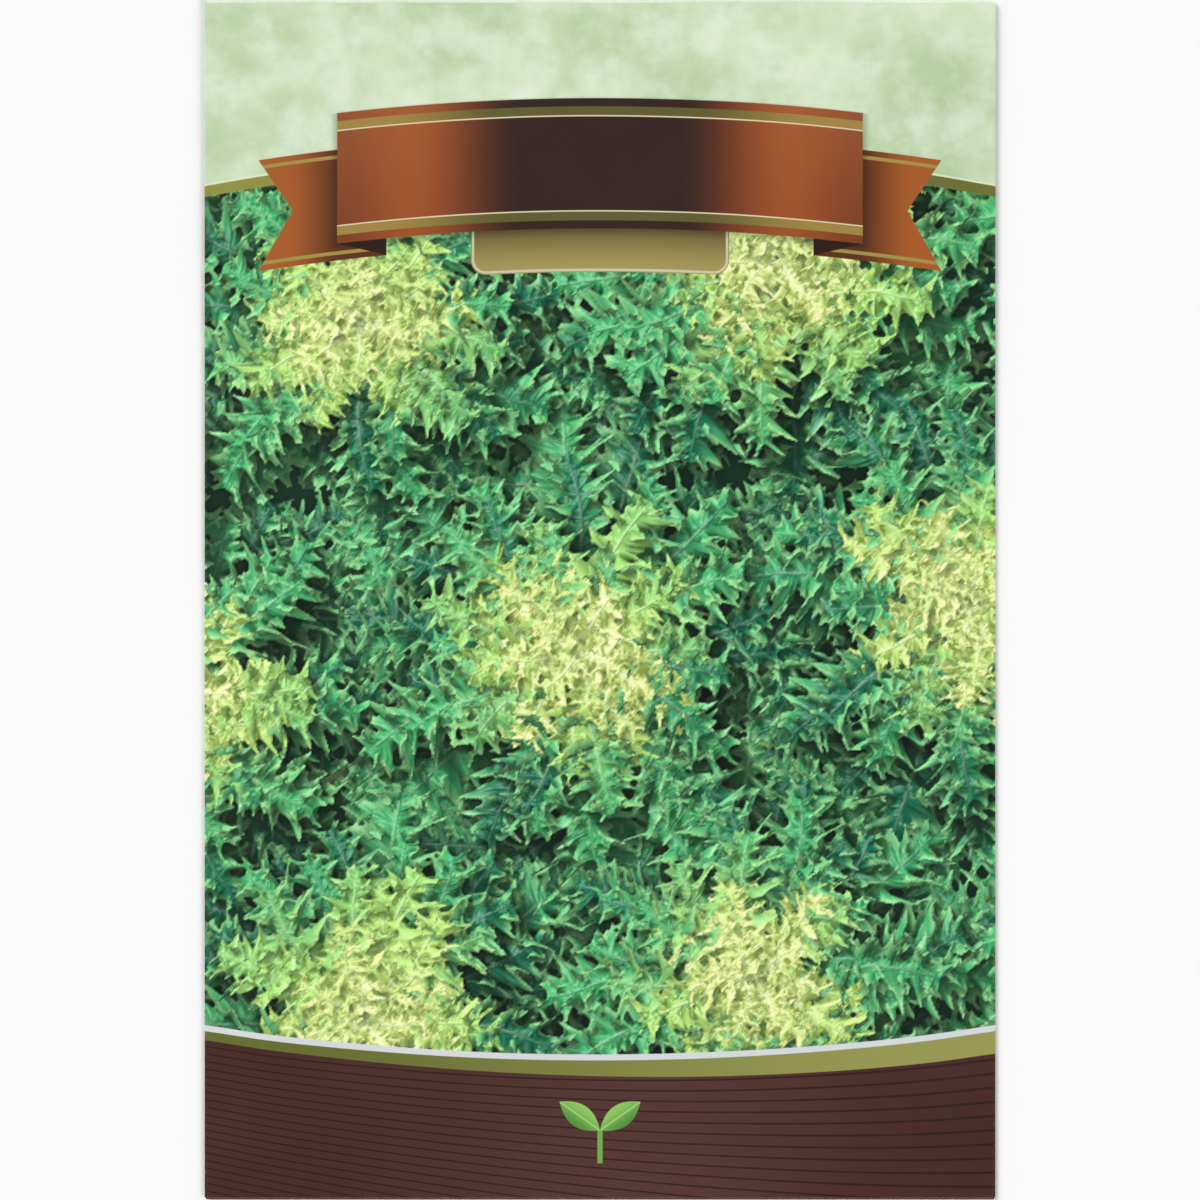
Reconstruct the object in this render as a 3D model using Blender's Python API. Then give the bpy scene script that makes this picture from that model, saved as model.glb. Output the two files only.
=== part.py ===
"""A folded and glued paper seed packet with its seeds, lying on its back with the front face up.

The origin is on the resting surface, under the middle of the packet. X runs to the right of the
front face, Y towards the packet's top edge and Z up. Sizes are in metres.
"""

import math
import random

import bmesh
import bpy
from mathutils import Euler, Vector

# The packet as it lies.
PACKET_WIDTH = 0.080
PACKET_HEIGHT = 0.1213
PUFF = 0.0017  # how far the middle of the front face stands over its edges

# The sheet that it is folded from.
PAPER = 0.0002  # thickness
LAYER_GAP = 0.00015  # air between two layers, or between paper and glue
CORNER_RELIEF = 0.001  # how far each fold stops short of the corners
SIDE_FLAP = 0.013  # from the side fold to the flap's free edge
TOP_FLAP = 0.020  # from the top fold to the flap's free edge
BACK_SHORTFALL = 0.005  # from the back panel's free edge to the top fold
STEP_RUN = 0.005  # length over which the layers climb onto the top flap

# The dried glue.
GLUE = 0.0001  # thickness
SIDE_GLUE_WIDTH = 0.007
FLAP_GLUE_WIDTH = 0.009
GLUE_INSET = 0.003  # from a free edge to the glue

# The seeds.
SEED_COUNT = 150
SEED_LENGTH = 0.0026
SEED_WIDTH = 0.0011
SEED_DEPTH = 0.0008
SEED_SIDES = 4
SEED_SHOULDER = 0.62  # width at the blunt end, as a share of the widest
SEED_SPACING = 0.00076
SEED_PATCH_STRETCH = 1.5  # how much wider the patch of seeds is than it is high
SEED_PATCH_Y = -0.018
SEED_TILT = 0.16  # radians
SEED_LIFT = 0.0003  # how far a seed may ride up on its neighbours
SEED_RANDOM = 7

# How finely the sheet is divided.
COLUMNS = 14
ROWS = 22
FOLD_STEPS = 6

# Heights of the middles of the layers, from the resting surface up.
GLUE_SPACE = LAYER_GAP + GLUE + LAYER_GAP
BACK_LEVEL = PAPER / 2
SIDE_LEVEL = BACK_LEVEL + PAPER + GLUE_SPACE
FRONT_LEVEL = SIDE_LEVEL + PAPER + LAYER_GAP
FLAP_STEP = PAPER + GLUE_SPACE  # what the top flap and its glue lift the other layers by

# Radii of the folds, to the middle of the paper.
SIDE_RADIUS = (FRONT_LEVEL - SIDE_LEVEL) / 2
BOTTOM_RADIUS = (FRONT_LEVEL - BACK_LEVEL) / 2
TOP_RADIUS = (FRONT_LEVEL + FLAP_STEP - BACK_LEVEL) / 2

# Where the front panel ends and its folds begin.
FOLD_X = PACKET_WIDTH / 2 - PAPER / 2 - SIDE_RADIUS
BOTTOM_FOLD_Y = -PACKET_HEIGHT / 2 + PAPER / 2 + BOTTOM_RADIUS
TOP_FOLD_Y = PACKET_HEIGHT / 2 - PAPER / 2 - TOP_RADIUS
FLAP_EDGE_Y = TOP_FOLD_Y - TOP_FLAP


def clear_scene():
    """Removes whatever the file already holds."""
    for old in list(bpy.data.objects):
        bpy.data.objects.remove(old, do_unlink=True)


def finish(name, color, roughness, metallic=0.0):
    """A plain Principled material."""
    material = bpy.data.materials.new(name)
    material.use_nodes = True
    shader = material.node_tree.nodes["Principled BSDF"]
    shader.inputs["Base Color"].default_value = (*color, 1.0)
    shader.inputs["Roughness"].default_value = roughness
    shader.inputs["Metallic"].default_value = metallic
    return material


def printed_paper():
    """Coated paper under a mostly green print."""
    return finish("printed_paper", (0.13, 0.33, 0.16), 0.45)


def dried_glue():
    """Clear paper glue, slightly yellow."""
    return finish("dried_glue", (0.80, 0.74, 0.52), 0.35)


def seed_coat():
    """The dry, pale brown coat of the seeds."""
    return finish("seed_coat", (0.42, 0.31, 0.19), 0.8)


def link(name, mesh, material):
    """Puts a mesh in the scene under its own name."""
    mesh.materials.clear()
    mesh.materials.append(material)
    thing = bpy.data.objects.new(name, mesh)
    bpy.context.scene.collection.objects.link(thing)
    return thing


def smooth_step(value):
    """0 below 0, 1 above 1, and a smooth climb between."""
    value = min(max(value, 0.0), 1.0)
    return value * value * (3 - 2 * value)


def climb(y):
    """How far the layers have climbed onto the top flap at this height of the packet."""
    start = FLAP_EDGE_Y - LAYER_GAP - STEP_RUN
    return FLAP_STEP * smooth_step((y - start) / STEP_RUN)


def puff(x, y):
    """The rise of the front face over its edges: a pillow that falls to nothing at the folds."""
    middle = (TOP_FOLD_Y + BOTTOM_FOLD_Y) / 2
    half = (TOP_FOLD_Y - BOTTOM_FOLD_Y) / 2
    across = max(1 - abs(x / FOLD_X) ** 2.2, 0.0)
    along = max(1 - abs((y - middle) / half) ** 2.6, 0.0)
    return PUFF * across**1.25 * along**1.25


def divided(start, end, count, inset):
    """Evenly spaced values, with one narrow division of its own at either end."""
    first, last = start + inset, end - inset
    inner = [first + (last - first) * index / count for index in range(count + 1)]
    return [start, *inner, end]


def carry(mesh, edge, outward, stations):
    """Carries an edge of the sheet along a path, with quads between its stops.

    Each station is a distance outward from the edge and a distance down from it.
    """
    starts = [vertex.co.copy() for vertex in edge]
    for out, down in stations:
        offset = outward * out - Vector((0, 0, down))
        following = [mesh.verts.new(start + offset) for start in starts]
        for left, right, over, under in zip(edge, edge[1:], following[1:], following):
            mesh.faces.new((left, right, over, under))
        edge = following
    return edge


def fold(radius):
    """The stations of a half turn that brings the paper round behind the front panel."""
    angles = [math.pi * step / FOLD_STEPS for step in range(1, FOLD_STEPS + 1)]
    return [(radius * math.sin(angle), radius * (1 - math.cos(angle))) for angle in angles]


def side_flap_path():
    """Round the side fold and back in to the flap's free edge."""
    return fold(SIDE_RADIUS) + [(-SIDE_FLAP, 2 * SIDE_RADIUS)]


def top_flap_path():
    """Round the top fold and down to the flap's free edge."""
    return fold(TOP_RADIUS) + [(-TOP_FLAP, 2 * TOP_RADIUS)]


def back_panel_path():
    """Round the bottom fold and up the back, climbing onto the top flap near the end."""
    climb_start = FLAP_EDGE_Y - LAYER_GAP - STEP_RUN
    climb_stops = [climb_start + STEP_RUN * part / 4 for part in range(5)]
    stops = [BOTTOM_FOLD_Y + 0.5 * (climb_start - BOTTOM_FOLD_Y)]
    stops += [*climb_stops, TOP_FOLD_Y - BACK_SHORTFALL]
    path = fold(BOTTOM_RADIUS)
    for y in stops:
        path.append((BOTTOM_FOLD_Y - y, 2 * BOTTOM_RADIUS - climb(y)))
    return path


def envelope():
    """The one sheet of paper: front panel, side flaps, back panel and top flap."""
    xs = divided(-FOLD_X, FOLD_X, COLUMNS, CORNER_RELIEF)
    ys = divided(BOTTOM_FOLD_Y, TOP_FOLD_Y, ROWS, CORNER_RELIEF)
    sheet = bmesh.new()
    front = [
        [sheet.verts.new((x, y, FRONT_LEVEL + climb(y) + puff(x, y))) for x in xs]
        for y in ys
    ]
    for lower, upper in zip(front, front[1:]):
        for column in range(len(xs) - 1):
            ends = lower[column : column + 2], upper[column : column + 2]
            sheet.faces.new((ends[0][0], ends[0][1], ends[1][1], ends[1][0]))
    left = [row[0] for row in front[1:-1]]
    right = [row[-1] for row in reversed(front[1:-1])]
    carry(sheet, left, Vector((-1, 0, 0)), side_flap_path())
    carry(sheet, right, Vector((1, 0, 0)), side_flap_path())
    carry(sheet, front[-1][1:-1], Vector((0, 1, 0)), top_flap_path())
    carry(sheet, front[0][-2:0:-1], Vector((0, -1, 0)), back_panel_path())
    bmesh.ops.recalc_face_normals(sheet, faces=sheet.faces)

    mesh = bpy.data.meshes.new("envelope")
    sheet.to_mesh(mesh)
    sheet.free()
    packet = link("envelope", mesh, printed_paper())
    paper = packet.modifiers.new("Paper", "SOLIDIFY")
    paper.thickness = PAPER
    paper.offset = 0
    paper.use_even_offset = True
    mesh.shade_smooth()
    return packet


def glue_line(name, low, high, material):
    """A flat strip of glue between two corners."""
    mesh = bpy.data.meshes.new(name)
    strip = bmesh.new()
    bmesh.ops.create_cube(strip, size=1.0)
    size = Vector(high) - Vector(low)
    middle = (Vector(high) + Vector(low)) / 2
    for vertex in strip.verts:
        vertex.co = middle + Vector((a * b for a, b in zip(vertex.co, size)))
    strip.to_mesh(mesh)
    strip.free()
    return link(name, mesh, material)


def glue_lines():
    """The glue of the two side flaps and of the top flap."""
    material = dried_glue()
    base = PAPER + LAYER_GAP
    top = base + GLUE
    low_y = BOTTOM_FOLD_Y + CORNER_RELIEF + GLUE_INSET
    high_y = FLAP_EDGE_Y - LAYER_GAP - STEP_RUN - GLUE_INSET
    outer = FOLD_X - CORNER_RELIEF - GLUE_INSET
    inner = outer - SIDE_GLUE_WIDTH
    glue_line("left_glue_line", (-outer, low_y, base), (-inner, high_y, top), material)
    glue_line("right_glue_line", (inner, low_y, base), (outer, high_y, top), material)
    flap_low = FLAP_EDGE_Y + GLUE_INSET
    flap_high = flap_low + FLAP_GLUE_WIDTH
    glue_line("flap_glue_line", (-outer, flap_low, base), (outer, flap_high, top), material)


def seed_mesh():
    """One achene along X: a point, a widest ring and a blunt shoulder, with few sides."""
    rings = [(0.12, 1.0), (0.5, SEED_SHOULDER)]
    seed = bmesh.new()
    tip = seed.verts.new((-SEED_LENGTH / 2, 0, 0))
    before = None
    for along, share in rings:
        ring = []
        for side in range(SEED_SIDES):
            angle = 2 * math.pi * (side + 0.5) / SEED_SIDES
            y = SEED_WIDTH / 2 * share * math.cos(angle) * math.sqrt(2)
            z = SEED_DEPTH / 2 * share * math.sin(angle) * math.sqrt(2)
            ring.append(seed.verts.new((SEED_LENGTH * along, y, z)))
        for side in range(SEED_SIDES):
            following = (side + 1) % SEED_SIDES
            if before is None:
                seed.faces.new((tip, ring[side], ring[following]))
            else:
                seed.faces.new((before[side], ring[side], ring[following], before[following]))
        before = ring
    seed.faces.new(before)
    bmesh.ops.recalc_face_normals(seed, faces=seed.faces)
    mesh = bpy.data.meshes.new("seed")
    seed.to_mesh(mesh)
    seed.free()
    return mesh


def seed_places():
    """A spiral patch in which each seed lies a little over its neighbours."""
    draw = random.Random(SEED_RANDOM)
    golden_turn = math.pi * (3 - math.sqrt(5))
    for index in range(SEED_COUNT):
        reach = SEED_SPACING * math.sqrt(index)
        turn = index * golden_turn
        x = reach * math.cos(turn) * math.sqrt(SEED_PATCH_STRETCH)
        y = reach * math.sin(turn) / math.sqrt(SEED_PATCH_STRETCH) + SEED_PATCH_Y
        tilt = draw.uniform(-SEED_TILT, SEED_TILT)
        roll = draw.uniform(-SEED_TILT, SEED_TILT)
        heading = draw.uniform(0, 2 * math.pi)
        lift = draw.uniform(0, SEED_LIFT)
        yield Vector((x, y, 0)), Euler((roll, tilt, heading)), lift


def seeds():
    """All the seeds, resting on the back panel and fused where they touch."""
    one = seed_mesh()
    floor = PAPER + LAYER_GAP
    copies = bpy.data.collections.new("seed_copies")
    bpy.context.scene.collection.children.link(copies)
    placed = []
    for place, turn, lift in seed_places():
        mesh = one.copy()
        mesh.transform(turn.to_matrix().to_4x4())
        lowest = min(vertex.co.z for vertex in mesh.vertices)
        place.z = floor + lift - lowest
        for vertex in mesh.vertices:
            vertex.co += place
        copy = bpy.data.objects.new("seed_copy", mesh)
        copies.objects.link(copy)
        placed.append(copy)

    heap = link("seeds", placed[0].data.copy(), seed_coat())
    copies.objects.unlink(placed[0])
    fuse = heap.modifiers.new("Fuse", "BOOLEAN")
    fuse.operation = "UNION"
    fuse.operand_type = "COLLECTION"
    fuse.collection = copies
    fuse.solver = "MANIFOLD"
    graph = bpy.context.evaluated_depsgraph_get()
    fused = bpy.data.meshes.new_from_object(heap.evaluated_get(graph))
    heap.modifiers.remove(fuse)
    heap.data = fused
    for copy in placed:
        bpy.data.objects.remove(copy, do_unlink=True)
    bpy.data.collections.remove(copies)
    return heap


def main():
    """Builds the packet."""
    clear_scene()
    packet = bpy.data.objects.new("seed_packet", None)
    bpy.context.scene.collection.objects.link(packet)
    envelope()
    glue_lines()
    seeds()
    for thing in bpy.context.scene.collection.objects:
        if thing != packet:
            thing.parent = packet


main()
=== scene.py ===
"""The looks of a folded paper seed packet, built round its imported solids.

The packet lies on its back, so the front face looks up along Z, X runs to its right and Y to its
top edge. Lengths are in metres, except inside the printed picture and the print's nodes, which
count in millimetres, as a print shop would.
"""

import logging
import math
from dataclasses import dataclass, field
from enum import Enum, IntEnum

import bpy
import numpy as np
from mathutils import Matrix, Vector
from numpy.typing import NDArray


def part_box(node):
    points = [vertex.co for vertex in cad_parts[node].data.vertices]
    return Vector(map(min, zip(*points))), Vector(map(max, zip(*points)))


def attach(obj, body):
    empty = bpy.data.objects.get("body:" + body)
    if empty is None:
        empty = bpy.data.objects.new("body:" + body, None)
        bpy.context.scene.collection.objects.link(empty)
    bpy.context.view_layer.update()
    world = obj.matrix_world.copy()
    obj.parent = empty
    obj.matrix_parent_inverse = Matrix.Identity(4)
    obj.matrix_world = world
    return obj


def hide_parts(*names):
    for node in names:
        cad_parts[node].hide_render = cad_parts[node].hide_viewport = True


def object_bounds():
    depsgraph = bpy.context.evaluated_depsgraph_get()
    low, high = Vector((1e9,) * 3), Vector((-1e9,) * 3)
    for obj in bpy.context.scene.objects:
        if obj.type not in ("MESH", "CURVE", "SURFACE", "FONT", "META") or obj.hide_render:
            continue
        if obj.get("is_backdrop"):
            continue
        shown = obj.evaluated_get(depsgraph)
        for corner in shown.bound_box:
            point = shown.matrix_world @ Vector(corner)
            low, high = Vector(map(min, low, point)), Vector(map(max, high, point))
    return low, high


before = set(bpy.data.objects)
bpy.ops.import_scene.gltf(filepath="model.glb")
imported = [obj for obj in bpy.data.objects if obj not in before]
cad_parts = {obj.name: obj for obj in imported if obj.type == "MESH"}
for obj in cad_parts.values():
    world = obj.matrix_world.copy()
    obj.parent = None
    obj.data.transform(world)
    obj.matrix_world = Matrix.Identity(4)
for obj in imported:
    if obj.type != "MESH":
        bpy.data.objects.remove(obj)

Floats = NDArray[np.float32]
Numbers = NDArray[np.int64]
Pair = tuple[float, float]
Triple = tuple[float, float, float]

MM = 0.001  # A millimetre, in metres.
BODY = "root"
IMAGE_PIXELS = 1200  # Height of the picture's frame.
PACKET_PIXELS = 1199  # Height of the packet in that frame.
SOFT = 0.05  # Half the width of a printed edge's smooth step, in millimetres.
REPORT = logging.getLogger("seed packet")


class PaperFace(IntEnum):
    """The two faces of the sheet, as the material slots of its pieces."""

    PRINTED = 0
    BARE = 1


class Side(Enum):
    """A side of the packet, as the sign of X there."""

    LEFT = -1
    RIGHT = 1


class Crease(Enum):
    """The crease that a panel is folded behind the front from, as the sign of Y there."""

    BOTTOM = -1
    TOP = 1


def smooth(value: Floats, low: float, high: float) -> Floats:
    """0 below low, 1 above high, and between them 3 t squared minus 2 t cubed."""
    share = np.clip((value - low) / (high - low), 0, 1)
    return share * share * (3 - 2 * share)


@dataclass(frozen=True)
class PacketSize:
    """The outside of the packet, read from its solids."""

    half_width: float  # From the middle to the left or right edge.
    half_height: float  # From the middle to the top or bottom edge.

    @classmethod
    def from_frame(cls) -> "PacketSize":
        """Reads the envelope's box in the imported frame."""
        low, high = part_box("envelope")
        return cls((high[0] - low[0]) / 2, (high[1] - low[1]) / 2)


@dataclass(frozen=True)
class Wave:
    """A sine over the sheet, whose crests run aslant."""

    across: float  # Radians for each metre of X.
    up: float  # Radians for each metre of Y.
    start: float = 0.0  # Radians at the middle of the packet.

    def at(self, x: Floats, y: Floats) -> Floats:
        """The sine of both places, each times its rate, plus the start."""
        return np.sin(self.across * x + self.up * y + self.start)


@dataclass(frozen=True)
class PaperStack:
    """How the layers of the folded sheet lie over each other, as heights of their middles."""

    size: PacketSize  # The outside of the packet.
    paper: float = 0.12 * MM  # Thickness of the sheet.
    air: float = 0.015 * MM  # What is left between two layers that are pressed together at a crease.
    opening: float = 0.55 * MM  # How far the front has parted from the layers behind it, inside.
    opening_run: float = 7.5 * MM  # The length over which it parts.
    side_opening: float = 0.25  # The share of that opening which lies below the side flaps.
    puff: float = 1.66 * MM  # The pillow over the seeds.
    puff_powers: Pair = (2.2, 2.6)  # How flat the pillow's middle is across and along.
    puff_fall: float = 1.25  # How quickly it falls towards its rim.
    flap_lift: float = 0.20 * MM  # What the top flap and its glue lift the back panel by.
    flap_run: float = 4.0 * MM  # The length over which the back panel climbs onto the top flap.
    climb_from: float = 0.15  # Where the front starts to climb to the top edge, as a share of the way.
    flap_length: float = 20.0 * MM  # From the top crease to the top flap's free edge.
    side_flap: float = 13.0 * MM  # From a side crease to the side flap's free edge.
    wave: float = 0.14 * MM  # Height of the slow waves in the paper.
    waves: tuple[tuple[float, Wave, Wave], ...] = (  # Pairs of waves to multiply, each with its share.
        (1.0, Wave(150, 90, 0.6), Wave(-60, 130, 1.9)),
        (0.6, Wave(260, -190, 2.4), Wave(40, 95)),
    )
    buckle: float = 0.10 * MM  # Height of the short buckles that the pillow pulls into its rim.
    buckle_rise: Pair = (0.5 * MM, 6.0 * MM)  # How far in the buckles start, and stand in full.
    buckle_fall: Pair = (7.0 * MM, 19.0 * MM)  # How far in they start to sink, and are gone.
    buckle_rate: float = 640.0  # Radians of the buckles for each metre of Y.
    buckle_sway: Pair = (2.2, 120.0)  # How many radians they sway by, and the rate of that.
    buckle_swell: float = 105.0  # The rate at which they swell and sink along the crease.

    @property
    def crease(self) -> float:
        """Height of the front's middle at a side: two sheets, two gaps and half its own paper."""
        return 2.5 * self.paper + 2 * self.air

    @property
    def side_radius(self) -> float:
        """Radius of the side creases, to the middle of the paper."""
        return (self.paper + self.air) / 2

    @property
    def bottom_radius(self) -> float:
        """Radius of the bottom crease, to the middle of the paper."""
        return (self.crease - self.paper / 2) / 2

    @property
    def top_radius(self) -> float:
        """Radius of the top crease, to the middle of the paper."""
        return (self.crease + self.flap_lift - self.paper / 2) / 2

    @property
    def crease_x(self) -> float:
        """Where the front panel ends and its side creases begin."""
        return self.size.half_width - self.paper / 2 - self.side_radius

    @property
    def bottom_y(self) -> float:
        """Where the front panel ends and the bottom crease begins."""
        return -self.size.half_height + self.paper / 2 + self.bottom_radius

    @property
    def top_y(self) -> float:
        """Where the front panel ends and the top crease begins."""
        return self.size.half_height - self.paper / 2 - self.top_radius

    @property
    def flap_edge(self) -> float:
        """Where the top flap ends, behind the front."""
        return self.top_y - self.flap_length

    def parted(self, x: Floats, y: Floats) -> Floats:
        """0 at the creases and 1 inside: the product of a smooth step in from each crease."""
        ins = self.crease_x - np.abs(x), y - self.bottom_y, self.top_y - y
        return math.prod(smooth(distance, 0.0, self.opening_run) for distance in ins)

    def pillow(self, x: Floats, y: Floats) -> Floats:
        """Share of the puff: one minus a power of the distance across, times the same along.

        Args:
            x: Places across.
            y: Places up.

        Returns:
            1 in the middle and 0 at the creases.
        """
        middle, half = (self.top_y + self.bottom_y) / 2, (self.top_y - self.bottom_y) / 2
        across = np.clip(1 - np.abs(x / self.crease_x) ** self.puff_powers[0], 0, 1)
        along = np.clip(1 - np.abs((y - middle) / half) ** self.puff_powers[1], 0, 1)
        return (across * along) ** self.puff_fall

    def rolls(self, x: Floats, y: Floats) -> Floats:
        """Slow waves in the paper: a sum of products of two sines that cross aslant."""
        return sum(share * one.at(x, y) * other.at(x, y) for share, one, other in self.waves)

    def pulls(self, x: Floats, y: Floats) -> Floats:
        """Short buckles that stand square to each side crease and die out a little way in.

        They are a fast sine of the height, swayed and swelled by two slower ones.

        Args:
            x: Places across.
            y: Places up.

        Returns:
            Shares of the buckles' height, from -1 to 1.
        """
        rim, side = self.crease_x - np.abs(x), np.sign(x)
        fade = smooth(rim, *self.buckle_rise) * (1 - smooth(rim, *self.buckle_fall))
        sway = self.buckle_sway[0] * np.sin(self.buckle_sway[1] * y)
        buckles = fade * np.sin(self.buckle_rate * y + sway + side)
        return buckles * np.sin(self.buckle_swell * y + 2 * side)

    def back(self, y: Floats) -> Floats:
        """Middle of the back panel: flat on the table, then up onto the top flap."""
        climb = smooth(y, self.flap_edge - self.flap_run, self.flap_edge)
        return self.paper / 2 + self.flap_lift * climb

    def side(self, x: Floats, y: Floats) -> Floats:
        """Middle of the side flaps: on the back panel at the crease, a little off it inside."""
        opening = self.side_opening * self.opening * self.parted(x, y)
        return self.back(y) + self.paper + self.air + opening

    def front(self, x: Floats, y: Floats) -> Floats:
        """Middle of the front panel.

        The height is the crease, plus a slow climb towards the thicker top edge, plus the
        parting of the layers, the pillow, the waves and the buckles. Waves and buckles are
        multiplied by the parting, so they die out at the creases.

        Args:
            x: Places across.
            y: Places up.

        Returns:
            Heights over the table.
        """
        parted = self.parted(x, y)
        climb = self.flap_lift * smooth(y, self.climb_from * self.top_y, self.top_y)
        ripple = self.wave * self.rolls(x, y) + self.buckle * self.pulls(x, y)
        pillow = self.puff * self.pillow(x, y)
        return self.crease + climb + self.opening * parted + pillow + ripple * parted


class LeafInk(Enum):
    """The inks of the leafy picture, as linear red, green and blue."""

    DEEP = (0.004, 0.145, 0.072)
    GREEN = (0.058, 0.398, 0.140)
    FRESH = (0.400, 0.680, 0.145)
    CREAM = (0.635, 0.745, 0.230)
    CREST = (0.850, 0.910, 0.490)
    RIB = (0.700, 0.860, 0.520)
    RIM = (0.440, 0.800, 0.350)
    GLOW = (1.300, 1.500, 0.500)
    SHEEN = (0.750, 0.950, 0.850)
    GROUND = (0.003, 0.024, 0.012)

    @property
    def rgb(self) -> Floats:
        """The ink as an array."""
        return np.array(self.value, np.float32)

    def over(self, below: Floats, share: Floats) -> Floats:
        """This ink laid over a picture or over another ink, with that share."""
        share = np.clip(share, 0, 1)[..., None]
        return below * (1 - share) + self.rgb * share


@dataclass(frozen=True)
class LeafSamples:
    """The samples of one leaf's face, each a row."""

    place: Floats  # Positions, in millimetres.
    normal: Floats  # Upward normals.
    marks: Floats  # Share along the rib, share out to the edge, and strength of the veins.


@dataclass(frozen=True)
class EdgeCut:
    """One order of notches in a leaf's edge."""

    rate: float  # Notches for each large lobe.
    start: float  # How far on the row starts, in notches.
    depth: float  # Share of the half width that a notch takes.
    power: float = 1.0  # Below 1 the notches are broad and the lobes pointed.

    def left(self, turn: Floats) -> Floats:
        """What is left of the half width: one minus a power of the size of a sine."""
        sine = np.abs(np.sin(math.pi * (self.rate * turn + self.start)))
        return 1 - self.depth * sine**self.power


@dataclass(frozen=True)
class CurlyLeaf:
    """One curly lobed leaf of the printed picture, in millimetres, growing along X."""

    length: float  # From the foot to the tip.
    half_width: float  # From the rib to the widest lobe.
    ruffle: float  # Height of the curls along the edge.
    slope_foot: float  # Rise of the rib at its foot, in radians.
    slope_tip: float  # Rise of the rib at its tip, in radians.
    bend: float  # How far the rib bends sideways, as a share of its length.
    seed: int  # Start of the leaf's own random draw.
    pitch: float = 0.05  # Distance between two samples of its face.
    cuts: tuple[EdgeCut, ...] = (  # The large lobes, the small ones on those, and the teeth.
        EdgeCut(1.0, 0.0, 0.62, 0.8),
        EdgeCut(3.3, 0.2, 0.46),
        EdgeCut(8.1, 0.1, 0.26),
    )
    lobes: Pair = (3.0, 0.19)  # Large lobes on a side: a few, and more for each millimetre of length.
    crowding: float = 1.1  # How much the lobes crowd towards the tip, as a power.
    foot_width: float = 0.13  # Share of the half width that the foot keeps.
    closeness: Pair = (1.9, 3.2)  # Samples in a pitch along the rib, and across each half.
    spare: int = 40  # Samples added to both.

    def samples(self) -> LeafSamples:
        """Samples the leaf's face.

        Along the rib the face runs from 0 to 1, across it from -1 to 1. The half width is a
        broad sine, times what each order of notches leaves of it. The edge is lifted and
        pushed along the rib by two waves that grow with the distance from the rib, which
        curls it. The whole face then follows the rib's rising and falling line.

        Returns:
            Those samples that show from above.
        """
        draw = np.random.default_rng(self.seed)
        rows = int(self.closeness[0] * self.length / self.pitch) + self.spare
        columns = int(self.closeness[1] * self.half_width / self.pitch) + self.spare
        along = np.linspace(0, 1, rows, dtype=np.float32)[:, None]
        across = np.linspace(-1, 1, columns, dtype=np.float32)[None, :]
        reach = np.abs(across)
        other_side = np.where(across < 0, draw.uniform(0.3, 0.7), 0.0)

        lobes = (self.lobes[0] + self.lobes[1] * self.length) * along**self.crowding
        turn = lobes + other_side + draw.uniform(0, 1)
        bow = np.sin(math.pi * (0.04 + 0.88 * along**1.15)) ** 0.7
        broad = self.foot_width + (1 - self.foot_width) * bow
        sideways = across * self.half_width * broad
        for cut in self.cuts:
            sideways = sideways * cut.left(turn)

        phase = 2 * math.pi * (lobes + 2 * other_side) + draw.uniform(0, 6.28)
        wave, ripple = phase + 1.5 * reach, 3.3 * phase + 2 * reach
        curl = reach**1.7 * self.ruffle * (0.25 + 0.75 * broad)
        fine = 0.50 * reach**2.2 * self.ruffle
        keel = 0.05 * np.abs(sideways) ** 1.5 + 0.10 * np.exp(-((across / 0.07) ** 2))
        lift = curl * np.sin(wave) + fine * np.sin(ripple) + keel
        push = 0.8 * curl * np.cos(wave) + 0.4 * fine * np.cos(ripple) + 0.42 * np.abs(sideways)

        slope = self.slope_foot + (self.slope_tip - self.slope_foot) * along**1.3
        step = self.length / (rows - 1)
        run, rise = np.cumsum(np.cos(slope), 0) * step, np.cumsum(np.sin(slope), 0) * step
        x = run + np.cos(slope) * push - np.sin(slope) * lift
        y = sideways + self.bend * self.length * np.sin(2.2 * along - 0.4)
        z = rise + np.sin(slope) * push + np.cos(slope) * lift
        place = np.stack([x, y, z], -1).astype(np.float32)
        normal = np.cross(np.gradient(place, axis=0), np.gradient(place, axis=1))
        normal /= np.linalg.norm(normal, axis=-1, keepdims=True) + 1e-9
        normal *= np.where(normal[..., 2:] < 0, -1, 1)

        rib = np.exp(-((sideways / (0.12 + 0.50 * (1 - along) ** 2)) ** 2)) * (1 - along) ** 0.6
        herring = np.abs(np.sin(math.pi * (turn - 0.9 * reach))) ** 14 * 0.30 * (1 - reach)
        marks = np.stack(np.broadcast_arrays(along, reach, np.clip(rib + herring, 0, 1)), -1)
        parts = [part.reshape(-1, 3).astype(np.float32) for part in (place, normal, marks)]
        shown = self.topmost(parts[0])
        return LeafSamples(*(part[shown] for part in parts))

    def topmost(self, place: Floats) -> Numbers:
        """Picks the highest sample in each square of one pitch, seen from above.

        Args:
            place: Positions of the samples.

        Returns:
            Their rows.
        """
        square = np.rint(place[:, :2] / self.pitch).astype(np.int64)
        high_first = np.argsort(-place[:, 2])
        past_any = 2 * np.abs(square).max() + 1
        number = square[high_first, 0] * past_any + square[high_first, 1]
        return high_first[np.unique(number, return_index=True)[1]]


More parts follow.
